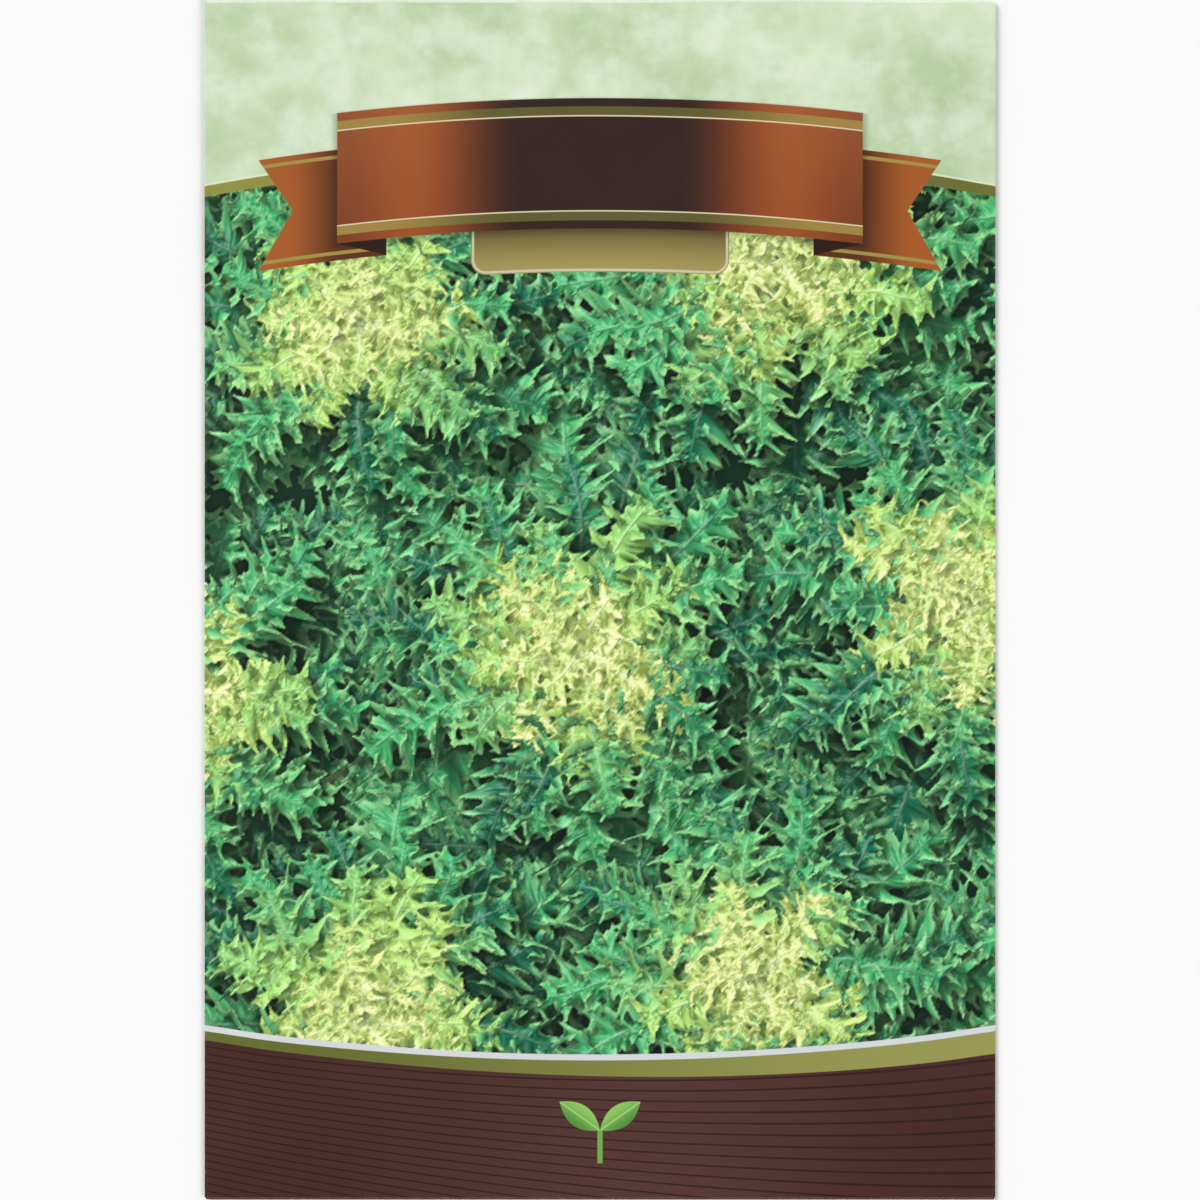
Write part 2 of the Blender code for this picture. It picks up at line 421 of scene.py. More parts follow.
@dataclass(frozen=True)
class LeafRing:
    """A ring of leaves in a head, from the outermost, dark and flat, to the pale heart.

    Lengths are in millimetres.
    """

    count: int  # Leaves in the ring.
    length: float  # Their length.
    half_width: float  # Their half width.
    slopes: Pair  # Rise of the rib at the foot and at the tip, in radians.
    ruffle: float  # Height of their curls.
    pale: float  # 0 for the darkest green and 1 for the palest heart.
    lift: float  # Height of their feet.

    def leaf(self, bend: float, seed: int, pitch: float) -> LeafSamples:
        """Samples one of the ring's leaves."""
        sizes = self.length, self.half_width, self.ruffle, *self.slopes
        return CurlyLeaf(*sizes, bend, seed, pitch).samples()


@dataclass(frozen=True)
class LeafFinish:
    """How the printed leaves are inked and lit.

    Youth runs from 0 for an old dark leaf to 1 for the palest heart. A span is where a smooth
    step starts and where it ends.
    """

    edge_span: Pair = (0.72, 0.98)  # Shares out to the edge over which a leaf's rim comes up.
    youth_shares: Triple = (0.22, 0.20, 0.06)  # What foot, tone and rim add to a leaf's youth.
    body_shares: Pair = (0.25, 0.1)  # What the edge and the tone add to the youth of its body.
    green: Pair = (0.0, 0.3)  # Youths of the body over which the darkest ink turns green.
    fresh: Pair = (0.25, 0.62)  # Youths over which green turns fresh.
    cream: Pair = (0.5, 0.95)  # Youths over which fresh turns cream.
    rib: Pair = (0.1, 0.7)  # Youths over which the ribs grow paler.
    rib_shares: Pair = (0.25, 0.5)  # Strength of an old leaf's ribs, and what youth adds to it.
    rim: Pair = (0.4, 0.8)  # Youths over which the rims fade.
    rim_shares: Pair = (0.42, 0.7)  # Strength of an old leaf's rims, and the share that youth takes.
    wrap: float = 0.22  # Share of the lamp's light on a face that stands edge-on to it.
    ambient: float = 0.21  # Light in full shade.
    direct: float = 1.25  # What the lamp adds on a face that looks at it.
    crest: Pair = (0.50, 1.00)  # Light over which the crests brighten.
    crest_youth: Pair = (0.5, 1.0)  # Youths over which they do so.
    crest_share: float = 0.45  # Strength of the crests' ink.
    glow: Pair = (0.3, 0.9)  # Youths over which light comes through the leaves.
    glow_share: float = 0.16  # Strength of that light.
    gloss: float = 0.22  # Strength of the glints.
    gloss_power: int = 22  # The higher it is, the smaller they are.

    def edge(self, reach: Floats) -> Floats:
        """1 on a leaf's very edge and 0 well inside it, from the share out to the edge."""
        return smooth(reach, *self.edge_span)

    def youth(self, pale: Floats, tone: Floats, along: Floats, reach: Floats) -> Floats:
        """The ring's share, plus more towards the foot, by the leaf's tone and on its rim."""
        foot, toned, edge = self.youth_shares
        return np.clip(pale + foot * (1 - along) ** 1.2 + toned * tone + edge * self.edge(reach), 0, 1)

    def inked(self, youth: Floats, tone: Floats, reach: Floats, vein: Floats) -> Floats:
        """The leaves' own color, before any light.

        Args:
            youth: How young each place looks.
            tone: The leaf's own tone, from -1 to 1.
            reach: Share out to the edge.
            vein: Strength of the veins.

        Returns:
            Green that turns fresh and then cream with youth, with pale veins and pale rims.
        """
        body = youth + self.body_shares[0] * reach + self.body_shares[1] * tone
        shade = LeafInk.GREEN.over(LeafInk.DEEP.rgb, smooth(body, *self.green))
        shade = LeafInk.FRESH.over(shade, smooth(youth, *self.fresh))
        shade = LeafInk.CREAM.over(shade, smooth(youth, *self.cream))
        old, young = self.rib_shares
        shade = LeafInk.RIB.over(shade, vein * (old + young * smooth(youth, *self.rib)))
        full, lost = self.rim_shares
        rim = self.edge(reach) * (1 - lost * smooth(youth, *self.rim))
        return LeafInk.RIM.over(shade, full * rim)

    def lit(
        self, shade: Floats, youth: Floats, normal: Floats, light: Triple, seen: tuple[Floats, Floats]
    ) -> Floats:
        """Lights the inked leaves.

        The lamp's light is a cosine that is wrapped a little round each face, and the gloss is
        a high power of the cosine to the line halfway between the lamp and the eye. The ink is
        multiplied by the ambient and the direct light. The glow is strongest where the direct
        light is weakest. All of it is multiplied by the share of the sky.

        Args:
            shade: The leaves' own color.
            youth: How young each place looks.
            normal: Upward normals.
            light: Where the lamp stands.
            seen: The share of the sky and the share of the lamp that each place sees.

        Returns:
            The lit color.
        """
        sky, lamp = seen
        toward = np.array(light, np.float32) / np.linalg.norm(light)
        halfway = toward + np.array([0, 0, 1], np.float32)
        halfway /= np.linalg.norm(halfway)
        direct = np.clip((1 - self.wrap) * (normal @ toward) + self.wrap, 0, 1) * lamp
        gloss = np.clip(normal @ halfway, 0, 1) ** self.gloss_power * lamp
        crest = smooth(direct * sky, *self.crest) * smooth(youth, *self.crest_youth)
        shade = LeafInk.CREST.over(shade, self.crest_share * crest)
        glow = self.glow_share * smooth(youth, *self.glow) * (1 - direct) * sky
        picture = shade * ((self.ambient + self.direct * direct) * sky)[..., None]
        picture += shade * glow[..., None] * LeafInk.GLOW.rgb
        picture += (self.gloss * gloss * sky)[..., None] * LeafInk.SHEEN.rgb
        return np.clip(picture, 0, 1)


@dataclass
class LeafyBed:
    """The printed picture: heads of curly leaves in staggered rows, seen from above.

    It is drawn as a height field. Every leaf's samples fall on a raster that keeps the highest,
    and the raster is then lit from the upper left, with shadows and with darker hollows.
    Lengths are in millimetres. What is nudged goes either way at random.
    """

    half_width: float  # Half the picture's width.
    bottom: float  # Its lowest line.
    top: float  # Its highest line.
    columns: int  # Steps of the paper's grid across it.
    rows: int  # Steps of the paper's grid up it.
    fineness: int = 2  # Steps of the raster in one step of the grid.
    shapes: int = 4  # Different leaves in each ring.
    seed: int = 5  # Start of the random draws.
    ring_seeds: int = 100  # Leaf seeds kept for each ring.
    rings: tuple[LeafRing, ...] = (  # The leaves of a head, from the outermost ring to the heart.
        LeafRing(13, 24.0, 6.2, (0.45, -0.45), 1.4, 0.00, -2.4),
        LeafRing(13, 21.5, 6.0, (0.65, -0.40), 1.5, 0.04, -1.4),
        LeafRing(13, 19.0, 5.6, (0.80, -0.30), 1.5, 0.12, -0.4),
        LeafRing(12, 16.5, 5.2, (0.90, -0.25), 1.4, 0.30, 0.6),
        LeafRing(11, 14.0, 4.9, (0.95, -0.25), 1.2, 0.50, 1.4),
        LeafRing(9, 11.0, 4.5, (0.95, -0.20), 1.0, 0.70, 2.4),
        LeafRing(7, 8.5, 4.0, (1.00, -0.15), 0.9, 0.80, 3.4),
        LeafRing(5, 6.0, 3.2, (1.10, -0.05), 0.8, 0.84, 4.6),
    )
    row_pitch: float = 35.0  # From one row of heads to the next.
    head_pitch: float = 42.0  # From one head to the next in a row.
    shift: float = -4.0  # How far the middle head stands from the packet's middle, both ways.
    filler_pitch: float = 5.6  # From one loose leaf on the ground to the next.
    filler_scale: float = 0.75  # Size of the loose leaves against the outermost ring's.
    filler_depth: Pair = (-4.6, -3.4)  # Lowest and highest foot of the loose leaves.
    filler_nudge: float = 2.0  # The most that one is nudged.
    filler_past: float = 3.0  # How far past the picture they are strewn.
    leaf_pitch: float = 0.75  # Distance between a leaf's samples, in samples of the raster.
    leaf_bend: float = 0.25  # The most that a rib bends either way, as a share of its length.
    leaf_turn: float = 0.3  # The most that a leaf is out of step in its ring, as a share of a step.
    leaf_nudge: float = 0.5  # The most that its foot is nudged.
    leaf_sizes: Pair = (0.88, 1.1)  # Size of the smallest and the largest leaf of a ring.
    heads_around: int = 2  # Rows, and heads in a row, to either side of the middle head.
    row_slant: float = 0.12  # Rise of a row for each millimetre across.
    head_past: float = 22.0  # How far past the picture a head may stand.
    head_nudge: float = 1.8  # The most that a head is nudged.
    head_sizes: Pair = (0.94, 1.06)  # Size of the smallest and the largest head.
    gap_reaches: tuple[int, ...] = (1, 2, 1)  # Samples to the high places round a gap, for each pass.
    gap_depth: float = 0.12  # Least depth of a gap.
    hollows: tuple[Pair, ...] = ((0.5, 0.34), (1.4, 0.20), (3.6, 0.10))  # Reach and darkness of each.
    hollow_depth: float = 6.0  # The depth past which a hollow gets no darker.
    ray_steps: int = 17  # Steps of a ray towards the lamp.
    ray_step: float = 0.14  # Length of the first step.
    ray_growth: float = 1.25  # The power with which the ray's length grows.
    ray_loss: float = 0.35  # Share of the lamp that is lost at each step that is covered.
    ray_cover: float = 0.7  # How far the leaves stand over the ray where a step is all covered.
    finish: LeafFinish = LeafFinish()  # How the leaves are inked and lit.
    soil: Pair = (0.3, 2.0)  # Light on the bare ground in full shade, and what the sky adds.
    light: Triple = (-0.45, 0.55, 0.75)  # Where the picture's own lamp stands.
    ground: float = -5.0  # Height of the bare ground.
    crispness: float = 0.75  # How far a point is pushed away from its neighbours at the end.
    _height: Floats = field(init=False, repr=False)
    _normal: Floats = field(init=False, repr=False)
    _marks: Floats = field(init=False, repr=False)
    _tint: Floats = field(init=False, repr=False)

    def __post_init__(self) -> None:
        """Empties the raster: bare ground, facing up."""
        cells = self.across * self.along
        self._height = np.full(cells, self.ground, np.float32)
        self._normal = np.tile(np.array([0, 0, 1], np.float32), (cells, 1))
        self._marks = np.zeros((cells, 3), np.float32)
        self._tint = np.zeros((cells, 2), np.float32)

    @property
    def across(self) -> int:
        """Samples of the raster across the picture."""
        return self.columns * self.fineness + 1

    @property
    def along(self) -> int:
        """Samples of the raster up the picture."""
        return self.rows * self.fineness + 1

    @property
    def cell(self) -> float:
        """Distance between two samples of the raster, in millimetres."""
        return 2 * self.half_width / (self.across - 1)

    def stamp(self, leaf: LeafSamples, foot: Triple, turn: float, scale: float, tint: Pair) -> None:
        """Drops one leaf on the raster, which keeps whatever stands highest.

        Args:
            leaf: The leaf's samples.
            foot: Where its foot stands.
            turn: Its heading, in radians.
            scale: Its size against the sampled leaf.
            tint: Its own tone, and how pale its ring is.
        """
        place, normal = leaf.place * scale, leaf.normal
        cos, sin = math.cos(turn), math.sin(turn)
        x = place[:, 0] * cos - place[:, 1] * sin + foot[0]
        y = place[:, 0] * sin + place[:, 1] * cos + foot[1]
        z = place[:, 2] + foot[2]
        i = np.rint((x + self.half_width) / self.cell).astype(np.int32)
        j = np.rint((y - self.bottom) / self.cell).astype(np.int32)
        kept = np.flatnonzero((i >= 0) & (i < self.across) & (j >= 0) & (j < self.along))
        cells = j[kept] * self.across + i[kept]
        higher = z[kept] > self._height[cells]
        kept, cells = kept[higher], cells[higher]
        order = np.argsort(z[kept], kind="stable")
        kept, cells = kept[order], cells[order]
        self._height[cells] = z[kept]
        self._normal[cells, 0] = normal[kept, 0] * cos - normal[kept, 1] * sin
        self._normal[cells, 1] = normal[kept, 0] * sin + normal[kept, 1] * cos
        self._normal[cells, 2] = normal[kept, 2]
        self._marks[cells] = leaf.marks[kept]
        self._tint[cells] = tint

    def plant(self) -> None:
        """Fills the raster: loose leaves on the ground, then the heads, ring by ring."""
        draw = np.random.default_rng(self.seed)
        pitch, bend = self.leaf_pitch * self.cell, self.leaf_bend
        leaves = [
            [
                ring.leaf(draw.uniform(-bend, bend), self.ring_seeds * number + shape, pitch)
                for shape in range(self.shapes)
            ]
            for number, ring in enumerate(self.rings)
        ]
        self.strew(leaves[:2], draw)
        for x, y, size in self.heads():
            for ring, kinds in zip(self.rings, leaves):
                self.set_ring(ring, kinds, (x, y, size), draw)

    def strew(self, leaves: list[list[LeafSamples]], draw: np.random.Generator) -> None:
        """Strews loose leaves over the ground, one for each square of the filler's pitch.

        Args:
            leaves: The kinds of leaf, by ring.
            draw: The random draw.
        """
        half_length = self.filler_scale * self.rings[0].length / 2
        nudge, past = self.filler_nudge, self.filler_past
        for x in np.arange(-self.half_width, self.half_width + past, self.filler_pitch):
            for y in np.arange(self.bottom, self.top + past, self.filler_pitch):
                turn = draw.uniform(0, 2 * math.pi)
                foot = (
                    x + draw.uniform(-nudge, nudge) - half_length * math.cos(turn),
                    y + draw.uniform(-nudge, nudge) - half_length * math.sin(turn),
                    draw.uniform(*self.filler_depth),
                )
                leaf = leaves[draw.integers(len(leaves))][draw.integers(self.shapes)]
                self.stamp(leaf, foot, turn, self.filler_scale, (draw.uniform(-1, 1), 0.0))

    def set_ring(
        self, ring: LeafRing, kinds: list[LeafSamples], head: Triple, draw: np.random.Generator
    ) -> None:
        """Sets one ring of a head, its leaves a little out of step.

        Args:
            ring: The ring.
            kinds: Its kinds of leaf.
            head: Where the head stands, and its size.
            draw: The random draw.
        """
        x, y, size = head
        start = draw.uniform(0, 2 * math.pi)
        for number in range(ring.count):
            step = number + draw.uniform(-self.leaf_turn, self.leaf_turn)
            turn = start + 2 * math.pi * step / ring.count
            nudge = draw.uniform(-self.leaf_nudge, self.leaf_nudge, 3)
            foot = (x + nudge[0], y + nudge[1], ring.lift + nudge[2])
            leaf = kinds[draw.integers(self.shapes)]
            scale = size * draw.uniform(*self.leaf_sizes)
            self.stamp(leaf, foot, turn, scale, (draw.uniform(-1, 1), ring.pale))

    def heads(self) -> list[Triple]:
        """Sets the heads out in slanting rows, every other row half a step on.

        Returns:
            Where each head stands, and its size.
        """
        draw = np.random.default_rng(self.seed + 1)
        around = range(-self.heads_around, self.heads_around + 1)
        places = []
        for row in around:
            for place in around:
                x = (place + 0.5 * (row % 2)) * self.head_pitch + self.shift
                y = row * self.row_pitch + self.row_slant * x + self.shift
                nudge = draw.uniform(-self.head_nudge, self.head_nudge, 2)
                size = draw.uniform(*self.head_sizes)
                low, high = self.bottom - self.head_past, self.top + self.head_past
                if abs(x) < self.half_width + self.head_past and low < y < high:
                    places.append((x + nudge[0], y + nudge[1], size))
        return places

    def close_gaps(self) -> None:
        """Fills gaps of a few samples: a low place between two high ones takes after the lower."""
        shape = (self.along, self.across)
        own = np.arange(self.across * self.along).reshape(shape)
        for away in self.gap_reaches:
            for down, over in ((0, 1), (1, 0), (1, 1), (1, -1)):
                height = self._height.reshape(shape)
                ahead, behind = (down * away, over * away), (-down * away, -over * away)
                first, second = np.roll(height, ahead, (0, 1)), np.roll(height, behind, (0, 1))
                lower = np.where(
                    first < second, np.roll(own, ahead, (0, 1)), np.roll(own, behind, (0, 1))
                )
                filled = np.minimum(first, second) > height + self.gap_depth
                target, source = own[filled], lower[filled]
                for layer in (self._height, self._normal, self._marks, self._tint):
                    layer[target] = layer[source]

    def blurred(self, picture: Floats, reach: int) -> Floats:
        """Blurs a picture twice, each time by a difference of running sums.

        Args:
            picture: The picture.
            reach: How many samples to each side are taken in.

        Returns:
            The blurred picture.
        """
        for axis in (0, 1, 0, 1):
            pads = [(reach + 1, reach) if side == axis else (0, 0) for side in (0, 1)]
            sums = np.cumsum(np.pad(picture, pads, mode="edge"), axis=axis, dtype=np.float64)
            count = picture.shape[axis]
            high = np.take(sums, range(2 * reach + 1, 2 * reach + 1 + count), axis)
            low = np.take(sums, range(count), axis)
            picture = ((high - low) / (2 * reach + 1)).astype(np.float32)
        return picture

    def open_light(self, height: Floats) -> tuple[Floats, Floats]:
        """How open each place is to the sky and to the lamp.

        The sky's share falls by an exponential of how deep the place lies under the blurred
        height around it, at three reaches. The lamp's share falls wherever the height field,
        read at growing steps towards the lamp, stands over the ray.

        Args:
            height: The height field.

        Returns:
            The share of the sky and the share of the lamp.
        """
        sky = np.ones_like(height)
        for reach, strength in self.hollows:
            around = self.blurred(height, max(1, round(reach / self.cell)))
            sky *= np.exp(-strength * np.clip(around - height, 0, self.hollow_depth))
        lamp = np.ones_like(height)
        flat = math.hypot(self.light[0], self.light[1])
        for step in range(1, self.ray_steps + 1):
            away = self.ray_step * step**self.ray_growth
            across = round(self.light[0] / flat * away / self.cell)
            along = round(self.light[1] / flat * away / self.cell)
            rise = away * self.light[2] / flat
            over = np.roll(height, (-along, -across), (0, 1)) - height - rise
            lamp *= 1 - self.ray_loss * smooth(over, 0.0, self.ray_cover)
        return sky, lamp

    def colors(self) -> Floats:
        """Paints the bed and thins the raster to the paper's grid.

        Where no leaf lies, the soil shows, lit by the sky alone.

        Returns:
            Linear red, green and blue, by row and column of the grid.
        """
        self.plant()
        self.close_gaps()
        shape = (self.along, self.across)
        height = self._height.reshape(shape)
        normal = self._normal.reshape(*shape, 3)
        along, reach, vein = np.moveaxis(self._marks.reshape(*shape, 3), -1, 0)
        tone, pale = np.moveaxis(self._tint.reshape(*shape, 2), -1, 0)
        sky, lamp = self.open_light(height)
        youth = self.finish.youth(pale, tone, along, reach)
        shade = self.finish.inked(youth, tone, reach, vein)
        picture = self.finish.lit(shade, youth, normal, self.light, (sky, lamp))
        soil = LeafInk.GROUND.rgb * (self.soil[0] + self.soil[1] * sky[..., None])
        bare = (height <= self.ground)[..., None]
        return self.crisp(self.thinned(np.where(bare, soil, picture)))

    def thinned(self, picture: Floats) -> Floats:
        """Thins the raster to the grid: each point takes a small weighted mean.

        Args:
            picture: Linear colors of the raster.

        Returns:
            Linear colors of the grid.
        """
        if self.fineness == 1:
            return picture
        for axis in (0, 1):
            pads = [(1, 1) if side == axis else (0, 0) for side in (0, 1, 2)]
            padded = np.pad(picture, pads, mode="edge")
            count = picture.shape[axis]
            before, here, after = (np.take(padded, range(k, k + count), axis) for k in range(3))
            picture = (before + 2 * here + after) / 4
        return picture[:: self.fineness, :: self.fineness].astype(np.float32)

    def crisp(self, picture: Floats) -> Floats:
        """Sharpens the picture against the softness of the paper's grid.

        The square root of each color, which is nearer to what the eye sees, moves away from
        the mean of its four neighbours by a share of the difference, and is squared again.

        Args:
            picture: Linear colors, by row and column.

        Returns:
            The sharper colors.
        """
        tone = np.sqrt(picture)
        wide = np.pad(tone, ((1, 1), (1, 1), (0, 0)), mode="edge")
        around = wide[:-2, 1:-1] + wide[2:, 1:-1] + wide[1:-1, :-2] + wide[1:-1, 2:]
        return np.clip(tone + self.crispness * (tone - around / 4), 0, 1) ** 2


class Wire:
    """A value inside a node tree. Sums are written with it as with a number."""

    def __init__(self, graph: "Graph", socket: bpy.types.NodeSocket) -> None:
        """Holds one output of a node, and the graph that it is in."""
        self.graph = graph
        self.socket = socket

    def __add__(self, other: "Wire | float") -> "Wire":
        """This plus the other."""
        return self.graph.math("ADD", self, other)

    def __sub__(self, other: "Wire | float") -> "Wire":
        """This minus the other."""
        return self.graph.math("SUBTRACT", self, other)

    def __rsub__(self, other: float) -> "Wire":
        """The other minus this."""
        return self.graph.math("SUBTRACT", other, self)

    def __mul__(self, other: "Wire | float") -> "Wire":
        """This times the other."""
        return self.graph.math("MULTIPLY", self, other)

    def __truediv__(self, other: "Wire | float") -> "Wire":
        """This divided by the other."""
        return self.graph.math("DIVIDE", self, other)

    def __abs__(self) -> "Wire":
        """How far this is from nothing."""
        return self.graph.math("ABSOLUTE", self)

    def least(self, other: "Wire | float") -> "Wire":
        """The lesser of this and the other."""
        return self.graph.math("MINIMUM", self, other)

    def most(self, other: "Wire | float") -> "Wire":
        """The greater of this and the other."""
        return self.graph.math("MAXIMUM", self, other)

    def root(self) -> "Wire":
        """The square root."""
        return self.graph.math("SQRT", self)

    def sawn(self, period: float) -> "Wire":
        """This folded back and forth between 0 and the period."""
        return self.graph.math("PINGPONG", self, period)

    def climb(self, low: float, high: float, start: float = 0.0, end: float = 1.0) -> "Wire":
        """A smooth climb from start, where this is low, to end, where it is high."""
        ends = {"From Min": low, "From Max": high, "To Min": start, "To Max": end}
        return self.graph.smooth_step({"Value": self} | ends)

    def within(self, half: float, middle: "Wire | float" = 0.0, soft: float = SOFT) -> "Wire":
        """1 where this lies within half of the middle, and 0 past it."""
        return abs(self - middle).climb(half - soft, half + soft, 1.0, 0.0)


Value = Wire | float
Paint = Wire | Enum | Triple
Inputs = dict[str | int, Value | tuple[float, ...]]


@dataclass(frozen=True)
class Page:
    """The sheet's own places in millimetres, as a print's nodes read them."""

    x: Wire  # Place across.
    y: Wire  # Place up.
    flat: Wire  # Both in one.


class Graph:
    """The node tree of a material or a world. Each call puts a node down and returns its output."""

    def __init__(self, owner: bpy.types.Material | bpy.types.World) -> None:
        """Takes over a node tree and empties it.

        Args:
            owner: The material or the world that the tree belongs to.
        """
        owner.use_nodes = True
        self.owner = owner
        self.tree = owner.node_tree
        self.tree.nodes.clear()

    @classmethod
    def of_material(cls, name: str) -> "Graph":
        """Starts a new material of that name."""
        return cls(bpy.data.materials.new(name))

    def put(self, kind: str, inputs: Inputs, **settings: object) -> bpy.types.Node:
        """Puts a node down.

        Args:
            kind: The node's type.
            inputs: What goes into its sockets, by name or number: a wire or a plain value.
            **settings: The node's own options.

        Returns:
            The node.
        """
        node = self.tree.nodes.new(kind)
        for name, setting in settings.items():
            setattr(node, name, setting)
        for name, value in inputs.items():
            if isinstance(value, Wire):
                self.tree.links.new(value.socket, node.inputs[name])
            else:
                node.inputs[name].default_value = value
        return node

    def wire(self, kind: str, output: str | int, inputs: Inputs, **settings: object) -> Wire:
        """Puts a node down and returns that output of it."""
        return Wire(self, self.put(kind, inputs, **settings).outputs[output])

    def math(self, operation: str, first: Value, second: Value = 0.0) -> Wire:
        """One operation on two values."""
        return self.wire("ShaderNodeMath", 0, {0: first, 1: second}, operation=operation)

    def smooth_step(self, inputs: Inputs) -> Wire:
        """A smooth climb from one range to another."""
        return self.wire("ShaderNodeMapRange", "Result", inputs, interpolation_type="SMOOTHSTEP")

    def mix(self, share: Value, below: Paint, above: Paint) -> Wire:
        """Lays one paint over another.

        Args:
            share: How much of the paint above shows.
            below: The paint below.
            above: The paint above.

        Returns:
            The mixed paint.
        """
        colors = [color.value if isinstance(color, Enum) else color for color in (below, above)]
        colors = [color if isinstance(color, Wire) else (*color, 1.0) for color in colors]
        inputs = {0: share, 6: colors[0], 7: colors[1]}
        return self.wire("ShaderNodeMix", 2, inputs, data_type="RGBA")

    def bump(self, height: Wire, distance: float) -> Wire:
        """A normal raised by that height."""
        return self.wire("ShaderNodeBump", "Normal", {"Height": height, "Distance": distance})

    def page(self) -> Page:
        """Reads the object's own places.

        Returns:
            The places, in millimetres.
        """
        place = self.wire("ShaderNodeTexCoord", "Object", {})
        parts = self.put("ShaderNodeSeparateXYZ", {0: place})
        x, y = (Wire(self, parts.outputs[number]) / MM for number in (0, 1))
        return Page(x, y, self.wire("ShaderNodeCombineXYZ", 0, {0: x, 1: y, 2: 0.0}))

    def surface(self, inputs: Inputs) -> bpy.types.Material:
        """Ends a material in a Principled shader.

        Args:
            inputs: What goes into the shader's sockets.

        Returns:
            The material.
        """
        shader = self.wire("ShaderNodeBsdfPrincipled", 0, inputs)
        self.put("ShaderNodeOutputMaterial", {"Surface": shader})
        return self.owner


class PrintInk(Enum):
    """The flat inks of the sheet's print, as linear red, green and blue."""

    TAB_GOLD = (0.37, 0.30, 0.095)
    TAB_SHADED = (0.14, 0.11, 0.035)
    TAB_RIM = (0.60, 0.56, 0.36)
    TAIL_RUST = (0.38, 0.105, 0.022)
    TAIL_SHADED = (0.11, 0.030, 0.010)
    TAIL_TRIM = (0.36, 0.27, 0.065)
    FOLD_DARK = (0.030, 0.010, 0.006)
    SHADOW = (0.012, 0.012, 0.010)
    RUST = (0.36, 0.085, 0.020)
    RUST_SHADED = (0.20, 0.050, 0.014)
    RUST_LIT = (0.52, 0.17, 0.06)
    UMBER = (0.034, 0.016, 0.013)
    TRIM_GOLD = (0.34, 0.23, 0.055)
    TRIM_BROWN = (0.115, 0.105, 0.028)
    TRIM_LINE = (0.70, 0.62, 0.40)
    STALK = (0.16, 0.40, 0.075)
    SEED_LEAF_DARK = (0.08, 0.28, 0.045)
    SEED_LEAF_LIGHT = (0.27, 0.56, 0.12)
    SEED_LEAF_RIB = (0.45, 0.70, 0.25)
    HEADER_GREEN = (0.44, 0.60, 0.345)
    HEADER_PALE = (0.66, 0.77, 0.55)
    HEADER_WISP = (0.84, 0.895, 0.78)
    HEADER_LINE = (0.74, 0.77, 0.55)
    OLIVE_LIGHT = (0.27, 0.27, 0.055)
    OLIVE_DARK = (0.15, 0.16, 0.035)
    FOOTER_DARK = (0.054, 0.018, 0.014)
    FOOTER_BROWN = (0.072, 0.026, 0.021)
    FOOTER_LIT = (0.115, 0.050, 0.043)
    FOOTER_LINE = (0.020, 0.008, 0.007)
    BAND_DARK = (0.13, 0.15, 0.028)
    BAND_LIGHT = (0.31, 0.31, 0.085)
    BAND_EDGE = (0.66, 0.68, 0.70)
    PICTURE_GRAIN = (0.02, 0.06, 0.03)
    BACK_GREEN = (0.60, 0.72, 0.50)
    BACK_PALE = (0.78, 0.86, 0.70)
    TABLE_PALE = (0.95, 0.95, 0.90)
    TABLE_LINE = (0.05, 0.16, 0.06)
    BACK_BROWN = (0.085, 0.034, 0.028)
    WORN_PAPER = (0.82, 0.80, 0.74)


@dataclass(frozen=True)
class Mottle:
    """Soft noise on the sheet, as a share."""

    scale: float  # Blotches for each millimetre.
    detail: float  # How many finer layers of noise are added.
    rough: float  # Strength of each layer against the one before.
    low: float = 0.3  # Noise below this counts as nothing.
    high: float = 0.7  # Noise above this counts in full.

    def raw(self, graph: Graph, page: Page) -> Wire:
        """The noise as it comes."""
        inputs = {"Scale": self.scale, "Detail": self.detail, "Roughness": self.rough}
        return graph.wire("ShaderNodeTexNoise", "Fac", {"Vector": page.flat} | inputs)

    def on(self, graph: Graph, page: Page, start: float = 0.0, end: float = 1.0) -> Wire:
        """The noise, turned into a smooth climb from start to end."""
        return self.raw(graph, page).climb(self.low, self.high, start, end)


@dataclass(frozen=True)
class Line:
    """A printed line that follows an edge."""

    half: float  # Half its width, in millimetres.
    inset: float  # What the distance has lost, from the edge to its middle.
    soft: float = SOFT  # Half the width of the smooth step at its own edges.

    def beside(self, off: Wire, edge: float = 0.0) -> Wire:
        """1 on the line and 0 off it, from a distance that has this value at the edge."""
        return off.within(self.half, edge - self.inset, self.soft)


@dataclass
class Print:
    """A print in the making on one face of the sheet."""

    graph: Graph  # The nodes of its material.
    page: Page  # The sheet's places.
    color: Paint  # The print so far.

    def lay(self, share: Value, paint: Paint) -> None:
        """Lays a paint over the print with that share."""
        self.color = self.graph.mix(share, self.color, paint)

    def mottled(self, mottle: Mottle) -> Wire:
        """That mottle on the sheet."""
        return mottle.on(self.graph, self.page)


